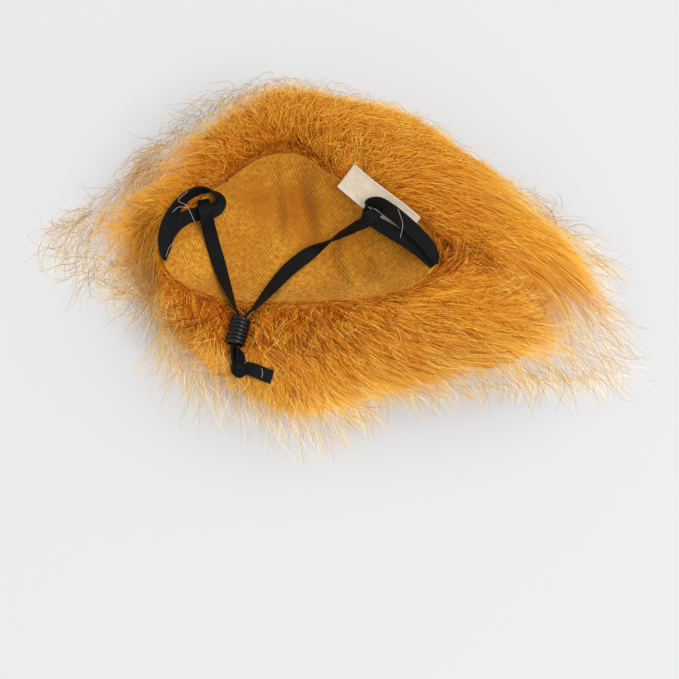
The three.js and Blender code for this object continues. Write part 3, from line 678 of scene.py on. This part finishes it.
def make_wrap():
    """The band's own turn round the lump."""
    sides = np.radians(full_turn(wrap_sides))
    rib = wrap_tube * (1 + 0.07 * np.cos(sides * 7))
    reach = knot_width * (wrap_radius + rib * np.cos(sides))
    height = wrap_height * knot_width * rib * np.sin(sides)
    rings = [
        np.stack([reach * math.cos(turn), -height, reach * math.sin(turn)], axis=1)
        for turn in np.radians(full_turn(wrap_steps))
    ]
    turned = Matrix.Rotation(wrap_turn, 3, "Z") @ Matrix.Rotation(wrap_lean, 3, "Y")
    return np.concatenate(rings) @ np.array(turned).T, ring_faces(wrap_steps, wrap_sides, closed=True)


knot_points, knot_faces = joined([make_lump(), make_wrap()])
knot = mesh_piece("strap_knot_braid", knot_points + knot_middle + wig_offset, knot_faces, elastic_material)
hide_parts("strap_knot")

tail_route = placed(tail_rows, tail_length, knot_middle + wig_offset)
tail_points, tail_faces, tail_line = band(tail_route, elastic_width, elastic_thickness, elastic_profile, 12)
tail = mesh_piece("strap_tail_braid", tail_points, tail_faces, elastic_material)
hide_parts("strap_tail")

for name, with_pieces in (("chin_strap_left", [cord_lock, knot, tail]), ("chin_strap_right", [])):
    leg, leg_line = legs[name]

# Fur: long acrylic pile knitted into the cloth under the lining. A dense undercoat fills it, and
# loose hairs lie over that in a fan, curly and upright at the back, combed straight to one side at
# the front, and thin and wispy at the left. It is pressed down under the straps that lie on it.
fur_reach = 156
fur_puff = 10
fur_tip_height = 22
fall_power = 1.7
puff_power = 0.78
patch_place = (-1.26, -0.2)
patch_reach = (0.36, 0.5)
patch_depth = 0.82

fur_rows = [  # angle of the root in degrees, reach, tip height and puff as shares, turn in degrees
    (14, 0.777, 0.4, 0.5, -14), (30, 0.653, 0.55, 0.5, -19), (50, 0.52, 0.8, 0.5, -23),
    (70, 0.477, 0.9, 0.65, -22), (86, 0.448, 1, 0.9, -13), (101, 0.48, 1, 1, -5),
    (115, 0.503, 0.82, 0.9, 2), (126, 0.469, 0.7, 0.8, 7), (142, 0.545, 0.45, 0.5, 10),
    (157, 0.649, 0.27, 0.3, 8), (173, 0.681, 0.23, 0.3, 4), (182, 0.64, 0.23, 0.3, 5),
    (189, 0.535, 0.25, 0.3, 7), (197, 0.48, 0.25, 0.3, 12), (207, 0.51, 0.23, 0.3, 17),
    (221, 0.49, 0.2, 0.35, 21), (245, 0.525, 0.18, 0.4, 25), (274, 0.515, 0.18, 0.5, 28),
    (298, 0.633, 0.18, 0.5, 21), (318, 0.795, 0.18, 0.5, 13), (337, 0.985, 0.18, 0.5, 4),
    (358, 0.815, 0.33, 0.55, -4),
]

pile_rows = [  # angle of the root, share at which the pile begins to thin, share at which it ends
    (0, 0.82, 0.9), (12, 0.79, 1), (22, 0.69, 1.08), (32, 0.8, 1.13), (44, 0.98, 1.2),
    (60, 0.98, 1.14), (72, 0.96, 1.17), (84, 0.82, 1.18), (97, 0.75, 1.18), (110, 0.56, 1.12),
    (122, 0.6, 1.18), (132, 0.57, 1.16), (142, 0.39, 0.84), (152, 0.27, 0.72), (161, 0.36, 0.9),
    (171, 0.49, 0.98), (180, 0.14, 0.84), (190, 0.1, 0.64), (200, 0.34, 0.62), (210, 0.4, 0.72),
    (221, 0.58, 0.86), (232, 0.62, 0.8), (250, 0.79, 0.93), (266, 0.79, 0.9), (285, 0.74, 0.86),
    (300, 0.67, 0.84), (315, 0.55, 0.84), (330, 0.62, 0.9), (341, 0.42, 0.84), (351, 0.38, 0.86),
]


def fur_point(root, share):
    """Top of the fur, from the seam at share 0 to the tips at share 1 and past them."""
    inside = np.clip(share, 0, 1)
    start = rim_reach(root) + seam_width
    reach = start + (fur_reach * around(fur_rows, 1, root) - start) * share
    top = rim_lift(root) + seam_height
    fall = top + (fur_tip_height * around(fur_rows, 2, root) - top) * inside**fall_power
    puff = fur_puff * around(fur_rows, 3, root) * np.sin(np.pi * inside**puff_power)
    point = outward(root + around(fur_rows, 4, root) * share, reach, fall + puff)
    off = ((point - bowl_centre)[..., :2] / lining_half_width - patch_place) / patch_reach
    thinned = patch_depth * smooth(1 - np.hypot(off[..., 0], off[..., 1]), 0, 0.6)
    point[..., 2] *= 1 - thinned * smooth(inside, 0, 0.15)
    return point


def fur_normal(root, share):
    """The way up out of the fur at a point of its top."""
    step = 0.01
    outwards = fur_point(root, share + step) - fur_point(root, share - step)
    sideways = fur_point(root + 1, share) - fur_point(root - 1, share)
    normal = np.cross(outwards, sideways)
    return unit(normal * np.sign(normal[..., 2:] + 1e-9))


def fur_length(root):
    return np.linalg.norm(fur_point(root, 1.0) - fur_point(root, 0.0), axis=-1)


def near(root, low, high, blur=8):
    """1 for roots between two angles, fading to 0 outside them."""
    middle = (low + high) / 2
    off = np.abs((root - middle + 180) % 360 - 180)
    return smooth((high - low) / 2 + blur - off, 0, blur)


def spot(points, x, y, reach_x, reach_y):
    """1 at a place of the plan, fading to 0 at a reach from it."""
    off = (points - bowl_centre)[..., :2] - (x, y)
    return smooth(1 - np.hypot(off[..., 0] / reach_x, off[..., 1] / reach_y), 0, 0.8)


tuft_depth = 0.045


def tufts(roots):
    """Uneven ends of the pile, where neighbouring hairs end together."""
    turn = np.radians(roots)
    return np.sin(29 * turn + 2 * np.sin(7 * turn)) + 0.7 * np.sin(53 * turn + 1.5 * np.sin(11 * turn))


def parting(points):
    """The hollow at the right where the pile parts; its hairs are fewer and darkened with painted shade."""
    return spot(points, 70, -12, 16, 12)


press_cell = 0.5
press_reach = 170
press_slope = 1.3
press_margin = 0.7
press_span = 24
free_height = 99.0


def make_press():
    """Height that the pile may have at each place of the plan, under what lies on it."""
    cells = int(2 * press_reach / press_cell)
    ceiling = np.full((cells, cells), free_height)
    span = np.arange(-press_span, press_span + 1) * press_cell
    away = np.hypot(*np.meshgrid(span, span, indexing="ij"))
    for line, half_width, below in pressing:
        for x, y, z in line:
            row, column = (int((place + press_reach) / press_cell) - press_span for place in (x, y))
            area = (slice(row, row + len(span)), slice(column, column + len(span)))
            height = z - below + press_slope * np.maximum(away - half_width, 0)
            ceiling[area] = np.minimum(ceiling[area], height)
    return ceiling


pressing = [
    (label_line, label_width / 2 - 1.5, press_margin),
    (tail_line, elastic_width / 2 + 0.6, press_margin + 0.6),
    (legs["chin_strap_left"][1][-60:], elastic_width / 3 + 1, press_margin + 1),
    (legs["chin_strap_right"][1][-60:], elastic_width / 3 + 1, press_margin + 1),
    ([knot_middle + wig_offset], knot_width / 2 + 1, press_margin + 1),
    (lock_middle + wig_offset + np.linspace(-1, 1, 15)[:, None] * (lock_mouth - lock_middle),
     barrel_diameter / 2 + 0.5, press_margin + 2),
    *((line[::3], elastic_width / 2 - 0.4, press_margin) for line in loop_lines),
]
press_ceiling = make_press()


def pressed(points, margin=0.0):
    """The same points, no higher than what lies on the pile lets them be."""
    place = ((points[..., :2] + press_reach) / press_cell).astype(int)
    place = np.clip(place, 0, len(press_ceiling) - 1)
    points[..., 2] = np.minimum(points[..., 2], press_ceiling[place[..., 0], place[..., 1]] - margin)
    return points


tone_stops = [  # from deep red-brown, painted shade in the gaps between the hairs, to the pale ends
    (0.0, colour(112, 38, 5)),
    (0.2, colour(176, 82, 11)),
    (0.42, colour(219, 132, 27)),
    (0.66, colour(229, 165, 50)),
    (0.85, colour(238, 188, 84)),
    (1.0, colour(246, 220, 150)),
]
stray_stops = [  # from olive-brown to almost white, as single fibres look on a pale table
    (0.0, colour(126, 92, 36)),
    (0.3, colour(198, 146, 54)),
    (0.6, colour(232, 190, 106)),
    (0.8, colour(246, 226, 182)),
    (1.0, colour(255, 250, 240)),
]
# Painted shade: hairs darken towards their roots, deep in the pile.
root_shade = (0.66, 0.5, 0.34)
tip_tint = colour(236, 198, 112)


def make_hair_material(name, stops):
    """Hair colour: the tone runs across the map, and the hair's length from root to tip runs up it."""
    material, nodes, surface = new_material(name)
    place = nodes.add("ShaderNodeUVMap", uv_map="OFBake").outputs[0]
    parts = nodes.add("ShaderNodeSeparateXYZ", {"Vector": place}).outputs
    tone = nodes.ramp(parts["X"], stops)
    # Painted shade at each hair's root, fading out by the middle of its length.
    shade = nodes.ramp(parts["Y"], [(0.0, root_shade), (0.45, (1, 1, 1))])
    pale = nodes.ramp(parts["Y"], [(0.6, (0, 0, 0)), (1.0, (0.18, 0.18, 0.18))])
    rooted = nodes.mix(1.0, tone, shade, "MULTIPLY")
    nodes.put(surface.inputs["Base Color"], nodes.mix(pale, rooted, tip_tint))
    surface.inputs["Roughness"].default_value = 0.55
    surface.inputs["Specular IOR Level"].default_value = 0.06
    return material


pile_material = make_hair_material("fur_hairs", tone_stops)
stray_material = make_hair_material("fur_strays", stray_stops)


def make_undercoat_material():
    material, nodes, surface = new_material("fur_undercoat")
    place = nodes.add("ShaderNodeTexCoord").outputs["Object"]
    lumps = nodes.noise(place, 120.0, 4.0)
    strands = nodes.noise(place, 900.0, 3.0)
    both = nodes.maths("ADD", nodes.maths("MULTIPLY", lumps, 0.6), nodes.maths("MULTIPLY", strands, 0.4))
    nodes.put(surface.inputs["Base Color"], nodes.ramp(both, [
        (0.3, colour(152, 68, 10)), (0.5, colour(194, 112, 22)), (0.7, colour(220, 150, 40))]))
    surface.inputs["Roughness"].default_value = 0.8
    surface.inputs["Specular IOR Level"].default_value = 0.15
    nodes.bump(surface, both, 0.8, 0.0015)
    return material


undercoat_steps = 300
undercoat_rings = 22
undercoat_depth = 2.4
undercoat_share = 0.82
undercoat_foot = 0.6
backing_drop = 3.6


def make_undercoat():
    """The thick of the pile: cloth backing under the lining, its top just under the loose hairs."""
    roots = full_turn(undercoat_steps)
    full = around(pile_rows, 1, roots) * (undercoat_share + 0.03 * tufts(roots))
    full *= 1 - 0.6 * near(roots, 176, 198, 9)
    inner = [bowl_point(roots, share) - (0, 0, backing_drop) for share in (0.35, 0.65, 0.85, 0.95)]
    lip = outward(roots, rim_reach(roots) + 0.8, rim_lift(roots) - 0.9)
    tops = []
    for along in np.linspace(0, 1, undercoat_rings):
        share = full * along
        lump = 0.8 * np.sin(np.radians(roots) * 41 + 9 * along) * np.sin(np.radians(roots) * 7 + 5 * along)
        depth = (undercoat_depth + lump) * smooth(share, -0.1, 0.1)
        top = fur_point(roots, share) - fur_normal(roots, share) * depth[:, None]
        top[:, 2] *= 1 - 0.75 * smooth(along, 0.6, 1.0)
        tops.append(pressed(top, 0.8))
    side = fur_point(roots, full * 1.03)
    side[:, 2] = np.minimum(side[:, 2] * 0.4, tops[-1][:, 2] * 0.7)
    foot = fur_point(roots, full * 0.92)
    foot[:, 2] = undercoat_foot
    rings = [*inner, lip, *tops, side, foot]
    middle = bowl_point(np.array([0.0]), 0.0) - (0, 0, backing_drop)
    points = np.concatenate([*rings, middle, [bowl_centre + (0, 0, undercoat_foot)]])
    faces = shell_faces(len(rings), undercoat_steps, turned=True)
    return mesh_piece("fur_undercoat", points, faces, make_undercoat_material())


undercoat = make_undercoat()
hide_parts("fur")

hair_limit = (137.5, 101)
hair_lowest = 0.25
hair_tone_width = 0.004


def clumped(points, centres, pull):
    """Draws each hair towards the nearest of some middle hairs, the more the nearer its tip."""
    tree = KDTree(len(centres))
    for index, centre in enumerate(points[centres, 0]):
        tree.insert(centre, index)
    tree.balance()
    nearest = np.array([centres[tree.find(start)[1]] for start in points[:, 0]])
    along = np.linspace(0, 1, points.shape[1]) ** 1.4
    shift = (points[nearest] - points) - (points[nearest, :1] - points[:, :1]) * 0.25
    return points + shift * (along[None, :, None] * pull[:, None, None])


def wave(parameter, seeds, turns):
    """A sideways sway that starts at nothing at the root, different for each hair."""
    phase = seeds[:, None] * 2 * math.pi
    return np.sin(phase + parameter[None, :] * turns[:, None] * 2 * math.pi) - np.sin(phase)


def hair_piece(name, points, widths, tones, random, material, sparse=False):
    """Flat tapered hairs in one mesh, each turned at random about its own line.

    Sparse ones lie apart on the table and are too fine to shade it.
    """
    inside = (np.abs(points[..., :2]) < hair_limit).all(axis=(1, 2))
    points, widths, tones = points[inside], widths[inside], tones[inside]
    count, rows = points.shape[:2]
    points = pressed(points)
    points[..., 2] = np.maximum(points[..., 2], hair_lowest)
    along = unit(np.gradient(points, axis=1))
    side = unit(np.cross(along, (0.0, 0.0, 1.0)))
    up = np.cross(side, along)
    roll = random.uniform(-1.0, 1.0, count)[:, None, None]
    across = side * np.cos(roll) + up * np.sin(roll)
    taper = np.interp(np.linspace(0, 1, rows), (0, 0.25, 0.7, 1), (0.7, 1, 0.8, 0.25))
    half = across * (widths[:, None] * taper[None, :] / 2)[..., None]
    corners = np.stack([points - half, points + half], axis=2).reshape(-1, 3) * MM
    first = (np.arange(count)[:, None] * rows + np.arange(rows - 1)[None, :]).ravel() * 2
    quads = np.stack([first, first + 1, first + 3, first + 2], axis=1)
    mesh = bpy.data.meshes.new(name)
    mesh.vertices.add(len(corners))
    mesh.vertices.foreach_set("co", corners.astype(np.float32).ravel())
    mesh.loops.add(quads.size)
    mesh.loops.foreach_set("vertex_index", quads.astype(np.int32).ravel())
    mesh.polygons.add(len(quads))
    mesh.polygons.foreach_set("loop_start", (np.arange(len(quads)) * 4).astype(np.int32))
    mesh.polygons.foreach_set("use_smooth", np.ones(len(quads), bool))
    layer = mesh.uv_layers.new(name="OFBake")
    tone = np.broadcast_to(np.clip(tones, 0.01, 0.98)[:, None], (count, rows))
    length = np.broadcast_to(np.linspace(0.01, 0.99, rows), (count, rows))
    edges = [np.stack([tone + side * hair_tone_width, length], axis=-1) for side in (-0.5, 0.5)]
    place = np.stack(edges, axis=2).reshape(-1, 2)
    layer.data.foreach_set("uv", place[quads.ravel()].astype(np.float32).ravel())
    mesh.materials.append(material)
    mesh.update(calc_edges=True)
    piece = bpy.data.objects.new(name, mesh)
    piece.visible_shadow = not sparse
    piece.visible_diffuse = not sparse
    bpy.context.scene.collection.objects.link(piece)
    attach(piece, "root")
    return piece


sowing_tries = 14


def sown(random, count, low, high, density):
    """Roots spread over the fur between two angles, as thickly as the density says."""
    roots = random.uniform(low, high, count * sowing_tries)
    shares = random.uniform(0, 1, count * sowing_tries)
    outwards = fur_point(roots, shares + 0.01) - fur_point(roots, shares - 0.01)
    sideways = fur_point(roots + 0.5, shares) - fur_point(roots - 0.5, shares)
    weight = np.linalg.norm(np.cross(outwards, sideways), axis=-1) * density(roots, shares)
    keep = random.uniform(0, np.quantile(weight, 0.995), len(weight)) < weight
    return roots[keep][:count], shares[keep][:count]


def swirl(points, salt):
    """A slow wander of the way the pile lies, from about -1 to 1."""
    x, y = points[..., 0] / 24 + salt, points[..., 1] / 24 - salt
    return (np.sin(1.7 * x + 2.1 * np.sin(y)) + np.sin(2.3 * y + 1.3 * np.sin(1.9 * x + salt))) / 2


hair_sectors = [  # name, angles of the roots, hairs, points along each
    ("fur_back", 35, 150, 16400, 7),
    ("fur_left", 150, 232, 10400, 7),
    ("fur_front", 232, 318, 24000, 5),
    ("fur_right", 318, 395, 24000, 5),
]
clump_share = 0.12
clump_pull = 0.26
# Tone shifts by the root, near the seam: darker at the front and at the lower left, painted shade at the
# back where the pile folds over the rim, and painted light at the left against the seam wall's shade.
root_light_and_shade = [  # angles of the roots, blur, shift of the tone, shares of the pile over which it fades
    (225, 290, 20, -0.08, 0.4, 0.9), (88, 135, 12, -0.08, 0.1, 0.4),
    (206, 232, 10, -0.14, 0.5, 1), (162, 196, 12, 0.12, 0.5, 1),
]


def hair_lengths(roots, shares, random):
    """Millimetres from root to tip: short curls at the back, long combed hair at the right."""
    back = near(roots, 55, 128, 20)
    right = near(roots, 318, 375, 25)
    base = 21 - 6 * back + 8 * right
    return base * random.uniform(0.6, 1.25, len(roots)) * (0.7 + 0.3 * smooth(shares, 0, 0.3))


def pile_density(roots, shares):
    """How thickly the roots are sown: less at the left and towards the tips."""
    inside = smooth(around(pile_rows, 1, roots) - shares, -0.03, 0.12)
    left = 1 - 0.42 * near(roots, 158, 212, 14) - 0.3 * near(roots, 174, 198, 6)
    return inside * left * (1 + 0.9 * smooth(0.06 - shares, 0, 0.06))


def fur_hairs(name, low, high, count, rows, random):
    roots, shares = sown(random, count, low, high, pile_density)
    full = fur_length(roots)
    reach = hair_lengths(roots, shares, random) / full
    thick, thin = around(pile_rows, 1, roots), around(pile_rows, 2, roots)
    limit = thick + (thin - thick) * (0.34 * random.exponential(1.0, len(roots)) - 0.6)
    limit += tuft_depth * tufts(roots)
    end = np.minimum(shares + reach, np.minimum(limit, thin + 0.05))
    shares = np.clip(end - reach, 0.0, shares)
    past = smooth(end - thick, -0.03, 0.08)
    reach = np.maximum(end - shares, 4 / full)
    over = parting(fur_point(roots, shares + 0.7 * reach)) - parting(fur_point(roots, shares))
    kept = random.uniform(size=len(roots)) > 1.2 * over
    roots, shares, reach, past = roots[kept], shares[kept], reach[kept], past[kept]
    count = len(roots)
    t = np.linspace(0, 1, rows)
    start = fur_point(roots, shares)
    lean = 14 * swirl(start, 1.0) + random.normal(0, 1.0, count) * (19 + 7 * smooth(0.4 - shares, 0, 0.4))
    aside = reach * fur_length(roots) * np.tan(np.radians(np.clip(lean, -60, 60)))
    around_bowl = np.degrees(aside / np.linalg.norm((start - bowl_centre)[:, :2], axis=1))
    share = shares[:, None] + reach[:, None] * t[None, :]
    angle = roots[:, None] + around_bowl[:, None] * t[None, :] ** 1.3
    points = fur_point(angle, share)
    normal = fur_normal(angle, np.clip(share, 0, 1))
    back = near(roots, 40, 140, 20)
    lift = random.uniform(0.0, 2.2, count) + back * random.uniform(-0.5, 3.5, count)
    lift *= smooth(shares, -0.02, 0.12) * 0.6 + 0.4
    depth = random.uniform(1.5, 3.5, count) * smooth(shares, -0.02, 0.15)
    rise = lift[:, None] * np.sin(np.pi * np.minimum(t * 0.92, 1)) - depth[:, None] * (1 - t) ** 2
    points = points + normal * rise[..., None]
    sideways = unit(np.cross(normal, np.gradient(points, axis=1)))
    middles = np.flatnonzero(random.uniform(size=count) < clump_share)
    points = clumped(points, middles, random.uniform(0.0, clump_pull, count) * (1 - 0.6 * back))
    curl = (0.4 + 0.7 * back) * random.uniform(0.4, 1.5, count)
    turns = random.uniform(0.5, 1.2, count) + back * random.uniform(0.3, 1.1, count)
    points += sideways * (curl[:, None] * wave(t, random.uniform(size=count), turns))[..., None]
    points += normal * (0.6 * curl[:, None] * wave(t, random.uniform(size=count), turns))[..., None]
    widths = random.uniform(0.16, 0.3, count) * (1 - 0.45 * past)
    middle = fur_point(roots, shares + reach * 0.5)
    away = (shares + reach * 0.5) / around(pile_rows, 1, roots)
    tone = 0.4 + 0.2 * smooth(away, 0.2, 1.0) + 0.1 * back * (1 + smooth(away, 0.5, 1))
    tone += 0.05 * near(roots, 330, 395, 25) - 0.05 * swirl(middle, 4.0)
    # Painted light and shade near the seam, by the root's angle.
    for first, last, blur, shift, fade_start, fade_end in root_light_and_shade:
        tone += shift * near(roots, first, last, blur) * (1 - smooth(away, fade_start, fade_end))
    # Painted shade in the hollow where the pile parts.
    tone -= 0.7 * parting(fur_point(roots, shares + reach * 0.7))
    uneven = 0.19 + 0.07 * near(roots, 228, 318, 14)
    tone = np.minimum(tone + random.normal(0, 1.0, count) * uneven, random.uniform(0.6, 0.9, count))
    tone += past * random.uniform(0.0, 0.28, count) * (1 - 0.8 * near(roots, 138, 176, 12))
    fringe = past > 0.25
    hair_piece(name + "_fringe", points[fringe], widths[fringe], tone[fringe], random, pile_material, True)
    hair_piece(name, points[~fringe], widths[~fringe], tone[~fringe], random, pile_material)


for index, (name, low, high, count, rows) in enumerate(hair_sectors):
    fur_hairs(name, low, high, count, rows, np.random.default_rng(101 + index))

# Loose hairs: short ones stand up over the seam all round. Long fine ones lie past the pile, in
# loops at the left and nearly straight at the right, and end on the table.
seam_hair_count = 3600
seam_hair_rows = 5
seam_hair_turn = 182.4


def seam_hairs(random):
    t = np.linspace(0, 1, seam_hair_rows)
    roots = random.uniform(0, 360, seam_hair_count)
    shares = random.uniform(-1.7, 2.0, seam_hair_count) / fur_length(roots)
    inward = random.uniform(-4.0, 2.2, seam_hair_count) / fur_length(roots)
    aside = random.normal(0, 1.0, seam_hair_count) * seam_hair_turn / rim_reach(roots)
    points = fur_point(roots[:, None] + aside[:, None] * t, shares[:, None] - inward[:, None] * t**1.4)
    arch = random.uniform(0.2, 1.7, seam_hair_count)[:, None] * np.sin(np.pi * np.minimum(t, 0.85))
    points[..., 2] += arch + 0.1
    # Dark tones, partly painted shade of the crevice at the seam; darker still at the back, painted shade
    # where the pile folds over the rim.
    tones = random.uniform(0.1, 0.6, seam_hair_count) - 0.08 * near(roots, 50, 135, 12)
    widths = random.uniform(0.13, 0.22, seam_hair_count)
    return hair_piece("fur_seam_hairs", points, widths, tones, random, pile_material)


seam_hairs(np.random.default_rng(307))

stray_rows = 10
stray_sway = 0.3
stray_wave = 18
stray_bands = [
    # angles of the roots in degrees, hairs, least and most share of the pile's end where they start,
    # millimetres long, radians that they stray and bend, darkest and palest tone
    (20, 150, 2100, 0.6, 0.96, 12, 0.6, 1.6, 0.0, 0.7),
    (142, 172, 420, 0.2, 0.9, 17, 0.6, 2.4, 0.2, 0.65),
    (166, 190, 620, 0.3, 0.95, 15, 0.8, 2.6, 0.05, 0.9),
    (164, 204, 300, 0.05, 0.45, 12, 1.1, 2.6, 0.05, 0.6),
    (188, 214, 220, 0.1, 0.7, 15, 0.7, 2.2, 0.1, 0.9),
    (205, 268, 620, 0.6, 0.98, 15, 0.3, 0.9, 0.3, 0.9),
    (260, 330, 900, 0.7, 0.98, 9, 0.3, 0.9, 0.15, 0.9),
    (318, 382, 1400, 0.6, 0.98, 14, 0.3, 0.8, 0.15, 1),
]


def stray_hairs(random):
    paths, widths, tones = [], [], []
    t = np.linspace(0, 1, stray_rows)
    for low, high, count, least, most, length, astray, bend, dark, pale in stray_bands:
        roots = random.uniform(low, high, count)
        begin = random.uniform(least, most, count) * around(pile_rows, 2, roots)
        start = fur_point(roots, begin)
        ahead = fur_point(roots, begin + 0.03) - start
        size = length * random.uniform(0.4, 1.5, count)
        heading = np.arctan2(ahead[:, 1], ahead[:, 0]) + random.normal(0, astray, count)
        turning = random.normal(0, bend, count)[:, None] * t
        sway = stray_sway * wave(t, random.uniform(size=count), size / stray_wave)
        heading = heading[:, None] + turning + sway
        step = (size / (stray_rows - 1))[:, None]
        points = np.repeat(start[:, None, :], stray_rows, axis=1)
        points[:, 1:, 0] += np.cumsum(np.cos(heading[:, :-1]) * step, axis=1)
        points[:, 1:, 1] += np.cumsum(np.sin(heading[:, :-1]) * step, axis=1)
        rest = random.uniform(0.4, 3.5, count)[:, None]
        arch = random.uniform(0.3, 3.5, count)[:, None] * np.sin(np.pi * t)
        points[..., 2] = rest + np.maximum(points[:, :1, 2] - rest, 0) * (1 - t) ** 1.3 + arch
        paths.append(points)
        widths.append(random.uniform(0.09, 0.19, count))
        tones.append(random.uniform(dark, pale, count))
    paths, widths, tones = np.concatenate(paths), np.concatenate(widths), np.concatenate(tones)
    return hair_piece("fur_strays", paths, widths, tones, random, stray_material, True)


stray_hairs(np.random.default_rng(211))

# Thread ends: pale sewing thread left loose on the ear loops and on the tail.
loose_thread_radius = 0.1
loose_threads = [
    [(-44.8, 11.2, 39.6), (-48.4, 6.4, 40.4), (-45.2, 4.2, 40.4), (-41.8, -1.8, 37.6)],
    [(-50.8, 1.8, 39.4), (-48.2, 3.6, 40.4), (-45.2, 3.2, 40.6)],
    [(-53.3, -14.6, 32.6), (-51.8, -12.2, 36.2), (-49.9, -10.2, 36.8)],
    [(38.6, 5.7, 38.6), (39.8, 1.6, 39.6), (41.2, -3.2, 38.6), (40.2, -8.6, 37.2)],
    [(35.0, 9.2, 39.2), (37.2, 6.8, 39.6), (38.6, 5.7, 38.8)],
    [(-14.8, -60.5, 25.6), (-14.4, -62.4, 25.2), (-14.8, -64.0, 24.6)],
]
pale_thread = thread_material("pale_thread", colour(186, 168, 138), 0.5)
thread_parts = []
for points in loose_threads:
    places = np.linspace(0, len(points) - 1, 6 * len(points))
    thread_parts.append(tube(catmull(np.array(points) + wig_offset, places), loose_thread_radius))
threads = mesh_piece("thread_ends", *joined(thread_parts), pale_thread)

# Floor and studio light: a plain near-white table, one large soft light from the upper right, and
# even light from all round.
floor_reach = 6.0
floor_mesh = bpy.data.meshes.new("floor")
floor_corners = [(-floor_reach, -floor_reach, 0), (floor_reach, -floor_reach, 0),
                 (floor_reach, floor_reach, 0), (-floor_reach, floor_reach, 0)]
floor_mesh.from_pydata(floor_corners, [], [(0, 1, 2, 3)])
floor_material, _, floor_surface = new_material("pale_table")
floor_surface.inputs["Base Color"].default_value = (*colour(206, 206, 206), 1)
floor_surface.inputs["Roughness"].default_value = 0.9
floor_surface.inputs["Specular IOR Level"].default_value = 0.1
floor_mesh.materials.append(floor_material)
floor = bpy.data.objects.new("floor", floor_mesh)
bpy.context.scene.collection.objects.link(floor)

studio = bpy.data.worlds.new("studio")
studio.use_nodes = True
backdrop = studio.node_tree.nodes["Background"].inputs
backdrop["Color"].default_value = (0.97, 0.985, 1.0, 1)
backdrop["Strength"].default_value = 0.76
bpy.context.scene.world = studio

for name, place, size, power in (
    ("key_light", (1.5, -1.2, 2.9), 2.2, 84.0),
    ("fill_light", (0.4, 2.4, 2.6), 2.6, 22.0),
):
    light_data = bpy.data.lights.new(name, "AREA")
    light_data.size = size
    light_data.energy = power
    light = bpy.data.objects.new(name, light_data)
    light.location = place
    tilt = math.atan2(math.hypot(place[0], place[1]), place[2])
    light.rotation_euler = (tilt, 0, math.atan2(-place[1], -place[0]) - math.pi / 2)
    bpy.context.scene.collection.objects.link(light)

bpy.context.scene.view_settings.view_transform = "Standard"
